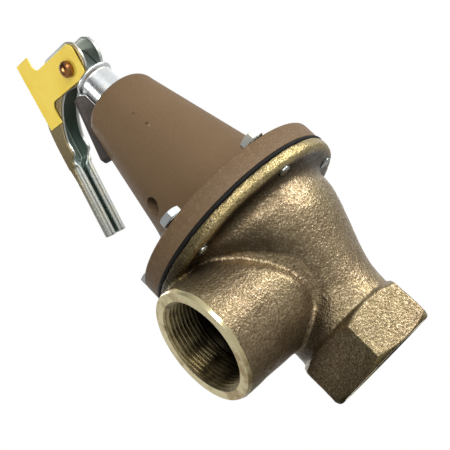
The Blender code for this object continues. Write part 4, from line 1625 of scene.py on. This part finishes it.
@dataclass
class TestLever:
    """The folded lever with its pin, washer and tag, and the stem's eye."""

    pin_level: float = 0.2272
    azimuth: float = -80.0
    half_width: float = 0.0068
    gap_half: float = 0.0046
    sheet: float = 0.0022
    swing: float = 80.0
    overrun: float = 20.0
    cam_rest: float = 0.0111
    cam_rise: float = 0.0021
    ear_round: float = 0.0042
    ear: tuple[Pair, ...] = ((-0.0108, 0.0092), (0.0112, 0.0194), (0.0168, 0.0184))
    arm_back: tuple[Pair, ...] = ((0.0280, 0.0165), (0.0400, 0.0115), (0.0495, 0.0045), (0.0565, -0.0055))
    arm_front: tuple[Pair, ...] = ((0.0475, -0.0130), (0.0440, -0.0095), (0.0395, -0.0062),
                                   (0.0340, -0.0035), (0.0290, -0.0016), (0.0240, -0.0009),
                                   (0.0190, -0.0010), (0.0130, -0.0040), (0.0060, -0.0088))
    knuckle: Pair = (0.0505, -0.0195)
    web_start: float = 0.0170
    handle_fall: float = 61.7
    handle_start: float = 0.0440
    handle_end: float = 0.0938
    handle_front: float = 0.0393
    handle_depth: float = 0.0077
    handle_overlap: float = 0.004
    lobe_gap: float = 0.0010
    fold_corner: float = 0.0008
    lobe_corner: float = 0.0028
    lobe_wall: float = 0.0015
    lobe_run: float = 0.0050
    corner_run: float = 0.0140
    pocket_depth: float = 0.0200
    slot_depth: float = 0.0055
    voxel: float = 0.0004
    pin_radius: float = 0.0030
    head_radius: float = 0.0048
    head_height: float = 0.0036
    shoulder_radius: float = 0.0042
    shoulder_height: float = 0.0014
    tail_radius: float = 0.0044
    tail_height: float = 0.0020
    washer_radius: float = 0.0060
    washer_thickness: float = 0.0010
    washer_break: float = 0.0002
    gap: float = 0.0003
    tag_thickness: float = 0.0008
    tag_tilt: float = 25.5
    tag_bar: tuple[float, float, float] = (0.0305, 0.0438, 0.0209)
    tag_stem: tuple[float, float, float] = (-0.0108, -0.0087, 0.0110)
    tag_round: float = 0.0048
    tag_corner: float = 0.0006
    eye_depth: float = 0.0110
    eye_half: float = 0.0043
    eye_bottom: float = 0.2164
    eye_rise: float = 0.0068
    eye_round: float = 0.0045
    eye_corner: float = 0.0006
    eye_bore: float = 0.0043
    stem_tip: float = 0.0028
    drill_reach: float = 0.02

    def place(self) -> Matrix:
        """From the lever's own plane, with its pin at the origin, to the valve's frame."""
        return raised(self.pin_level) @ about_z(self.azimuth)

    def handle(self, along: float, across: float) -> Pair:
        """A point of the handle, from distances along it and out from its front."""
        cosine, sine = math.cos(math.radians(self.handle_fall)), math.sin(math.radians(self.handle_fall))
        return (along * cosine + across * sine, across * cosine - along * sine)

    def drilled(self, mesh: Mesh, start: float) -> Mesh:
        """Cut the pin's hole through a mesh, from a distance across the lever to its near side."""
        drill = rod(self.pin_radius + self.gap, start, self.drill_reach, 48)
        return cut(mesh, moved(drill, ALONG_Y))

    def cam(self) -> Profile:
        """Draw the ear's edge that rolls on the cap.

        Returns:
            Its points.
        """
        edge = []
        for turn in np.radians(np.linspace(0, self.swing + self.overrun, 30)):
            reach, sine, cosine = self.cam_rest + self.cam_rise * turn, math.sin(turn), math.cos(turn)
            edge.append((-reach * sine - self.cam_rise * cosine, -reach * cosine + self.cam_rise * sine))
        return edge

    def arm(self) -> Mesh:
        """Make the ears and the arm, folded like a channel.

        Returns:
            Their mesh.
        """
        start, front, back = self.handle_start, self.handle_front, self.handle_front + self.handle_depth
        outer = smooth_route([self.ear[2], *self.arm_back, self.handle(start, back)])[2:]
        inner = smooth_route([self.handle(start, front), self.knuckle, *self.arm_front], 4)
        overlap = [self.handle(start + self.handle_overlap, out) for out in (back, front)]
        corners = [(x, z, 0) for x, z in self.cam()] + [(*point, self.ear_round) for point in self.ear]
        corners += [(x, z, 0) for x, z in (*outer, *overlap, *inner)]
        mesh = prism(rounded(corners), -self.half_width, self.half_width)
        far = 0.03
        route = np.array(outer)
        run = np.gradient(route, axis=0)
        run /= np.linalg.norm(run, axis=1)[:, None]
        inset = route + self.sheet * np.stack([run[:, 1], -run[:, 0]], axis=1)
        inset = inset[inset[:, 0] > self.web_start + 0.002]
        channel = [(-far, -far), (-far, far), (self.web_start, far),
                   (self.web_start, self.ear[2][1] - self.sheet)] + [tuple(point) for point in inset]
        channel += [self.handle(start + self.lobe_run, back - self.sheet),
                    self.handle(start + self.lobe_run, front - self.sheet),
                    self.handle(start, front - 2 * self.sheet)]
        return cut(mesh, prism(channel, -self.gap_half, self.gap_half))

    def lobe_section(self, along: float) -> Profile:
        """Draw the handle's section.

        Args:
            along: Distance past the handle's start.

        Returns:
            Points as (out from the handle's front, across).
        """
        half, depth = self.half_width, self.handle_depth
        gap = self.gap_half + (self.lobe_gap - self.gap_half) * smooth_step(along / self.lobe_run)
        corner = self.fold_corner
        corner += (self.lobe_corner - self.fold_corner) * smooth_step(along / self.corner_run)
        radius = (half - gap) / 2
        side = [(self.slot_depth, gap)] + arc((radius, gap + radius), (radius, radius), 270, 90, 14)
        side += arc((depth - corner, half - corner), (corner, corner), 90, 0, 6)
        return side + [(w, -s) for w, s in reversed(side)]

    def lobes(self) -> Mesh:
        """Make the handle: the cheeks roll into two lobes, and the channel narrows to the slot between them.

        Returns:
            Its mesh.
        """
        runs = [*np.linspace(0, self.lobe_run, 9), *np.linspace(self.lobe_run, self.corner_run, 9)[1:],
                self.handle_end - self.handle_start]
        mesh = self.handle_bar([(self.handle_start + run, self.lobe_section(run)) for run in runs])
        thin, deep = self.lobe_wall, self.handle_depth - self.lobe_wall
        inner, outer = self.lobe_gap + thin, self.half_width - thin
        pocket = rounded([(thin, inner, thin / 2), (thin, outer, thin / 2), (deep, outer, 0),
                          (deep, inner, 0)], 3)
        for sign in (1, -1):
            section = [(w, sign * s) for w, s in pocket]
            ends = (self.handle_end - self.pocket_depth, self.handle_end + self.sheet)
            mesh = cut(mesh, self.handle_bar([(end, section) for end in ends]))
        return mesh

    def handle_bar(self, stations: Sequence[tuple[float, Profile]]) -> Mesh:
        """Stretch sections over places along the handle.

        Args:
            stations: Each place with its section of (out from the handle's front, across) points.

        Returns:
            The bar.
        """
        rings = []
        for along, section in stations:
            places = [(self.handle(along, self.handle_front + out), across) for out, across in section]
            rings.append([(x, across, z) for (x, z), across in places])
        return lofted(rings)

    def build_lever(self, finishes: Finishes) -> None:
        """Make the lever and put it in place.

        Args:
            finishes: The valve's materials.
        """
        mesh = combined(self.arm(), self.lobes(), Blend.JOIN)
        mesh = remeshed(self.drilled(mesh, -self.drill_reach), self.voxel)
        mesh = moved(dressed(relaxed(mesh, 9, 0.5), finishes.lever), self.place())
        placed("folded_lever", mesh, Body.LEVER, Slot.ZINC, ["lever"], 60.0)

    def build_pin(self, finishes: Finishes) -> None:
        """Make the pin with its domed head, and the washer behind the far ear.

        Args:
            finishes: The valve's materials.
        """
        head_seat = self.half_width + 2 * self.gap + self.tag_thickness
        base = head_seat + self.shoulder_height
        washer_in = -self.half_width - self.gap
        washer_out = washer_in - self.washer_thickness
        tail = washer_out - self.gap
        profile = [(0, base + self.head_height)]
        profile += arc((0, base), (self.head_radius, self.head_height), 89, 0, 16)
        profile += [(self.head_radius - 0.0003, base - 0.0003), (self.shoulder_radius, base - 0.0004),
                    (self.shoulder_radius, head_seat), (self.pin_radius, head_seat), (self.pin_radius, tail)]
        profile += arc((self.pin_radius, tail - self.tail_height / 2),
                       (self.tail_radius - self.pin_radius, self.tail_height / 2), 90, -90, 8)
        profile.append((0, tail - self.tail_height))
        pin = moved(dressed(turned(profile, 64), finishes.copper), ALONG_Y, self.place())
        placed("rivet_pin", pin, Body.LEVER, Slot.COPPER, ["lever_pin"])
        hole, radius, small = self.pin_radius + self.gap, self.washer_radius, self.washer_break
        ring = [(hole, washer_in), (radius, washer_in), (radius, washer_out + small),
                (radius - small, washer_out), (hole, washer_out)]
        washer = moved(dressed(turned(ring, 64), finishes.steel), ALONG_Y, self.place())
        placed("rivet_washer", washer, Body.LEVER, Slot.STEEL, ["pin_washer"])

    def build_tag(self, finishes: Finishes) -> None:
        """Make the T-shaped tag and put it in place.

        Args:
            finishes: The valve's materials.
        """
        inner, outer, half = self.tag_bar
        end, low, high = self.tag_stem
        small, large = self.tag_corner, self.tag_round
        tee = rounded([(outer, half, small), (inner, half, small), (inner, high, large), (end, high, large),
                       (end, low, large), (inner, low, large), (inner, -half, small),
                       (outer, -half, small)], 12)
        near = self.half_width + self.gap
        mesh = bevelled(self.drilled(prism(tee, near, near + self.tag_thickness), 0), 0.00015, 2)
        tilt = Matrix.Rotation(-math.radians(self.tag_tilt), 4, "Y")
        mesh = moved(dressed(mesh, finishes.tag), tilt, self.place())
        placed("tee_tag", mesh, Body.LEVER, Slot.YELLOW, ["tag"], 12.0)

    def build_eye(self, finishes: Finishes) -> None:
        """Make the eye on top of the stem and put it in place.

        Args:
            finishes: The valve's materials.
        """
        half, bottom, top = self.eye_depth / 2, self.eye_bottom - self.pin_level, self.eye_rise
        small, large = self.eye_corner, self.eye_round
        outline = rounded([(half, bottom, small), (half, top, large), (-half, top, large),
                           (-half, bottom, small)])
        mesh = self.drilled(prism(outline, -self.eye_half, self.eye_half), -self.drill_reach)
        mesh = cut(mesh, rod(self.stem_tip + self.gap, bottom - 0.001, bottom + self.eye_bore, 48))
        mesh = moved(dressed(bevelled(mesh, 0.0003, 2), finishes.steel), self.place())
        placed("eye_block", mesh, Body.STEM, Slot.STEEL, ["stem_eye"], 15.0)

    def build(self, finishes: Finishes) -> None:
        """Make every piece of the lever."""
        for make in (self.build_lever, self.build_pin, self.build_tag, self.build_eye):
            make(finishes)


@dataclass
class InnerPieces:
    """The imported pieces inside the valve, which keep their shapes."""

    steel: tuple[str, ...] = ("disc_washer", "disc_screw", "upper_diaphragm_plate", "stem_nut", "stem",
                              "upper_spring_button", "ring_nut")
    brass: tuple[str, ...] = ("seat_ring", "disc_holder", "lower_diaphragm_plate", "adjusting_screw")
    rubber: tuple[str, ...] = ("seat_disc",)

    def dress(self, finishes: Finishes) -> None:
        """Give each piece its finish.

        Args:
            finishes: The valve's materials.
        """
        for names, material in ((self.steel, finishes.steel), (self.brass, finishes.brass),
                                (self.rubber, finishes.rubber)):
            for name in names:
                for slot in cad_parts[name].material_slots:
                    slot.link = "OBJECT"
                    slot.material = material
                log.info("%s dressed", name)


# Studio


@dataclass(frozen=True)
class SoftBox:
    """A soft lamp."""

    name: str
    place: tuple[float, float, float]
    size: Pair
    power: float
    aim: tuple[float, float, float] = (0.0, 0.0, 0.11)
    spread: float = 180.0

    def build(self, lit: Collection) -> None:
        """Hang the lamp and point it at the valve.

        Args:
            lit: What the lamp shines on.
        """
        light = bpy.data.lights.new(self.name, "AREA")
        light.shape = "ELLIPSE"
        light.size, light.size_y = self.size
        light.energy = self.power
        light.spread = math.radians(self.spread)
        lamp = bpy.data.objects.new(self.name, light)
        lamp.location = self.place
        lamp.visible_camera = False
        lamp.rotation_euler = (Vector(self.aim) - Vector(self.place)).to_track_quat("-Z", "Y").to_euler()
        lamp.light_linking.receiver_collection = lit
        bpy.context.scene.collection.objects.link(lamp)


@dataclass
class Studio:
    """The camera, the lamps, the pale floor and the white surroundings."""

    camera_azimuth: float = 55.721
    camera_distance: float = 0.4124
    camera_level: float = -0.0067
    pan: float = 1.003
    tilt: float = 15.025
    roll: float = 45.613
    lens: float = 66.61
    lamps: list[SoftBox] = field(default_factory=lambda: [
        SoftBox("key", (-0.80, 0.80, 0.17), (0.60, 0.34), 7.2),
        SoftBox("fill", (0.36, 1.10, 0.28), (1.30, 0.44), 8.4),
        SoftBox("accent", (0.42, -0.09, 0.40), (0.18, 0.18), 0.042, (0.01, -0.02, 0.240), 30.0),
        SoftBox("back", (-0.20, -0.95, 0.95), (0.60, 0.60), 4.0),
    ])
    bright_way: tuple[float, float, float] = (-0.48, 0.86, 0.16)
    away: tuple[float, float, float] = (-0.53, -0.81, 0.26)
    room_power: float = 0.70
    dim_share: float = 0.04
    black: Colour = (0.0, 0.0, 0.0, 1.0)
    white: Colour = (1.0, 1.0, 1.0, 1.0)
    floor_tones: tuple[Colour, Colour] = ((0.74, 0.74, 0.74, 1.0), (0.77, 0.77, 0.77, 1.0))
    floor_level: float = -0.0002
    floor_sides: int = 64
    floor_opening: float = 0.0275
    floor_reach: float = 30.0
    floor_power: float = 1.40
    floor_softness: float = 40.0

    def camera(self) -> None:
        """Set the camera where the photograph was taken, rolled as it was."""
        turn = math.radians(self.camera_azimuth)
        away = Vector((math.cos(turn), math.sin(turn), 0))
        up = Vector((0, 0, 1))
        forward = Matrix.Rotation(math.radians(self.pan), 3, up) @ -away
        right = forward.cross(up)
        lift = Matrix.Rotation(math.radians(self.tilt), 3, right)
        forward, up = lift @ forward, lift @ up
        roll = math.radians(self.roll)
        across = math.cos(roll) * right - math.sin(roll) * up
        top = math.sin(roll) * right + math.cos(roll) * up
        data = bpy.data.cameras.new("camera")
        data.lens = self.lens
        data.sensor_width = 36.0
        data.clip_start = 0.01
        camera = bpy.data.objects.new("camera", data)
        matrix = Matrix((across, top, -forward)).transposed().to_4x4()
        matrix.translation = away * self.camera_distance + Vector((0, 0, self.camera_level))
        camera.matrix_world = matrix
        bpy.context.scene.collection.objects.link(camera)
        bpy.context.scene.camera = camera

    def floor(self) -> Object:
        """Lay a pale floor that shows from above only, because the camera looks up from just under it.

        It is open under the valve's foot, so that the foot's end face gets light.

        Returns:
            The floor.
        """
        mesh = bpy.data.meshes.new("floor")
        sides = self.floor_sides
        turns = np.arange(sides) * 2 * math.pi / sides
        points = [(radius * math.cos(turn), radius * math.sin(turn), 0)
                  for radius in (self.floor_opening, self.floor_reach) for turn in turns]
        faces = [(i, sides + i, sides + (i + 1) % sides, (i + 1) % sides) for i in range(sides)]
        mesh.from_pydata(points, [], faces)
        plane = bpy.data.objects.new("floor", mesh)
        plane.location.z = self.floor_level
        bpy.context.scene.collection.objects.link(plane)
        surface = Surface("Pale floor", Roughness=0.9)
        web, shader = surface.web, surface.shader
        web.feed(shader.inputs["Base Color"], web.mix(web.noise(3.0), *self.floor_tones))
        under = web.add("NewGeometry").outputs["Backfacing"]
        clear = web.add("BsdfTransparent")
        both = web.add("MixShader", {0: under, 1: shader.outputs[0], 2: clear.outputs[0]})
        web.feed(web.tree.nodes["Material Output"].inputs["Surface"], both.outputs[0])
        mesh.materials.append(surface.material)
        return plane

    def floor_light(self, floor: Object) -> Collection:
        """Light the floor evenly from above, with a lamp that shines on nothing else.

        Args:
            floor: The floor.

        Returns:
            A collection for the other lamps to shine on, with everything but the floor.
        """
        light = bpy.data.lights.new("floor light", "SUN")
        light.energy = self.floor_power
        light.angle = math.radians(self.floor_softness)
        lamp = bpy.data.objects.new("floor light", light)
        bpy.context.scene.collection.objects.link(lamp)
        only = bpy.data.collections.new("floor only")
        only.objects.link(floor)
        lamp.light_linking.receiver_collection = only
        others = bpy.data.collections.new("all but the floor")
        others.objects.link(floor)
        others.collection_objects[0].light_linking.link_state = "EXCLUDE"
        return others

    def surroundings(self) -> None:
        """White where the camera looks, and a soft room that is brighter to one side everywhere else."""
        world = bpy.data.worlds.new("surroundings")
        bpy.context.scene.world = world
        world.use_nodes = True
        web = Web(world.node_tree)
        room = world.node_tree.nodes["Background"]
        level = web.remap(web.towards(self.bright_way), 0.0, 0.7, self.dim_share, 1.0)
        web.feed(room.inputs["Color"], web.mix(level, self.black, self.white))
        room.inputs["Strength"].default_value = self.room_power
        white = web.add("Background", {"Color": self.white, "Strength": 1.0})
        ray = web.add("LightPath").outputs
        mirrored = web.product(ray["Is Glossy Ray"], web.remap(web.towards(self.away), 0.2, 0.7))
        seen = web.larger(web.larger(ray["Is Camera Ray"], ray["Is Transmission Ray"]), mirrored)
        both = web.add("MixShader", {0: seen, 1: room.outputs[0], 2: white.outputs[0]})
        web.feed(world.node_tree.nodes["World Output"].inputs["Surface"], both.outputs[0])

    def build(self) -> None:
        """Set up the whole studio."""
        self.camera()
        self.surroundings()
        lit = self.floor_light(self.floor())
        for lamp in self.lamps:
            lamp.build(lit)
        bpy.context.scene.view_settings.view_transform = "Standard"


def main() -> None:
    """Build the studio and dress the valve."""
    logging.basicConfig(level=logging.INFO, format="%(name)s: %(message)s")
    Studio().build()
    finishes = Finishes(Effects())
    flanges = Flanges()
    for assembly in (Casting(flanges), Bonnet(flanges), Gasket(flanges), CoilSpring(), Bolts(flanges), Cap(),
                     TestLever()):
        assembly.build(finishes)
    InnerPieces().dress(finishes)


if __name__ == "__main__":
    main()
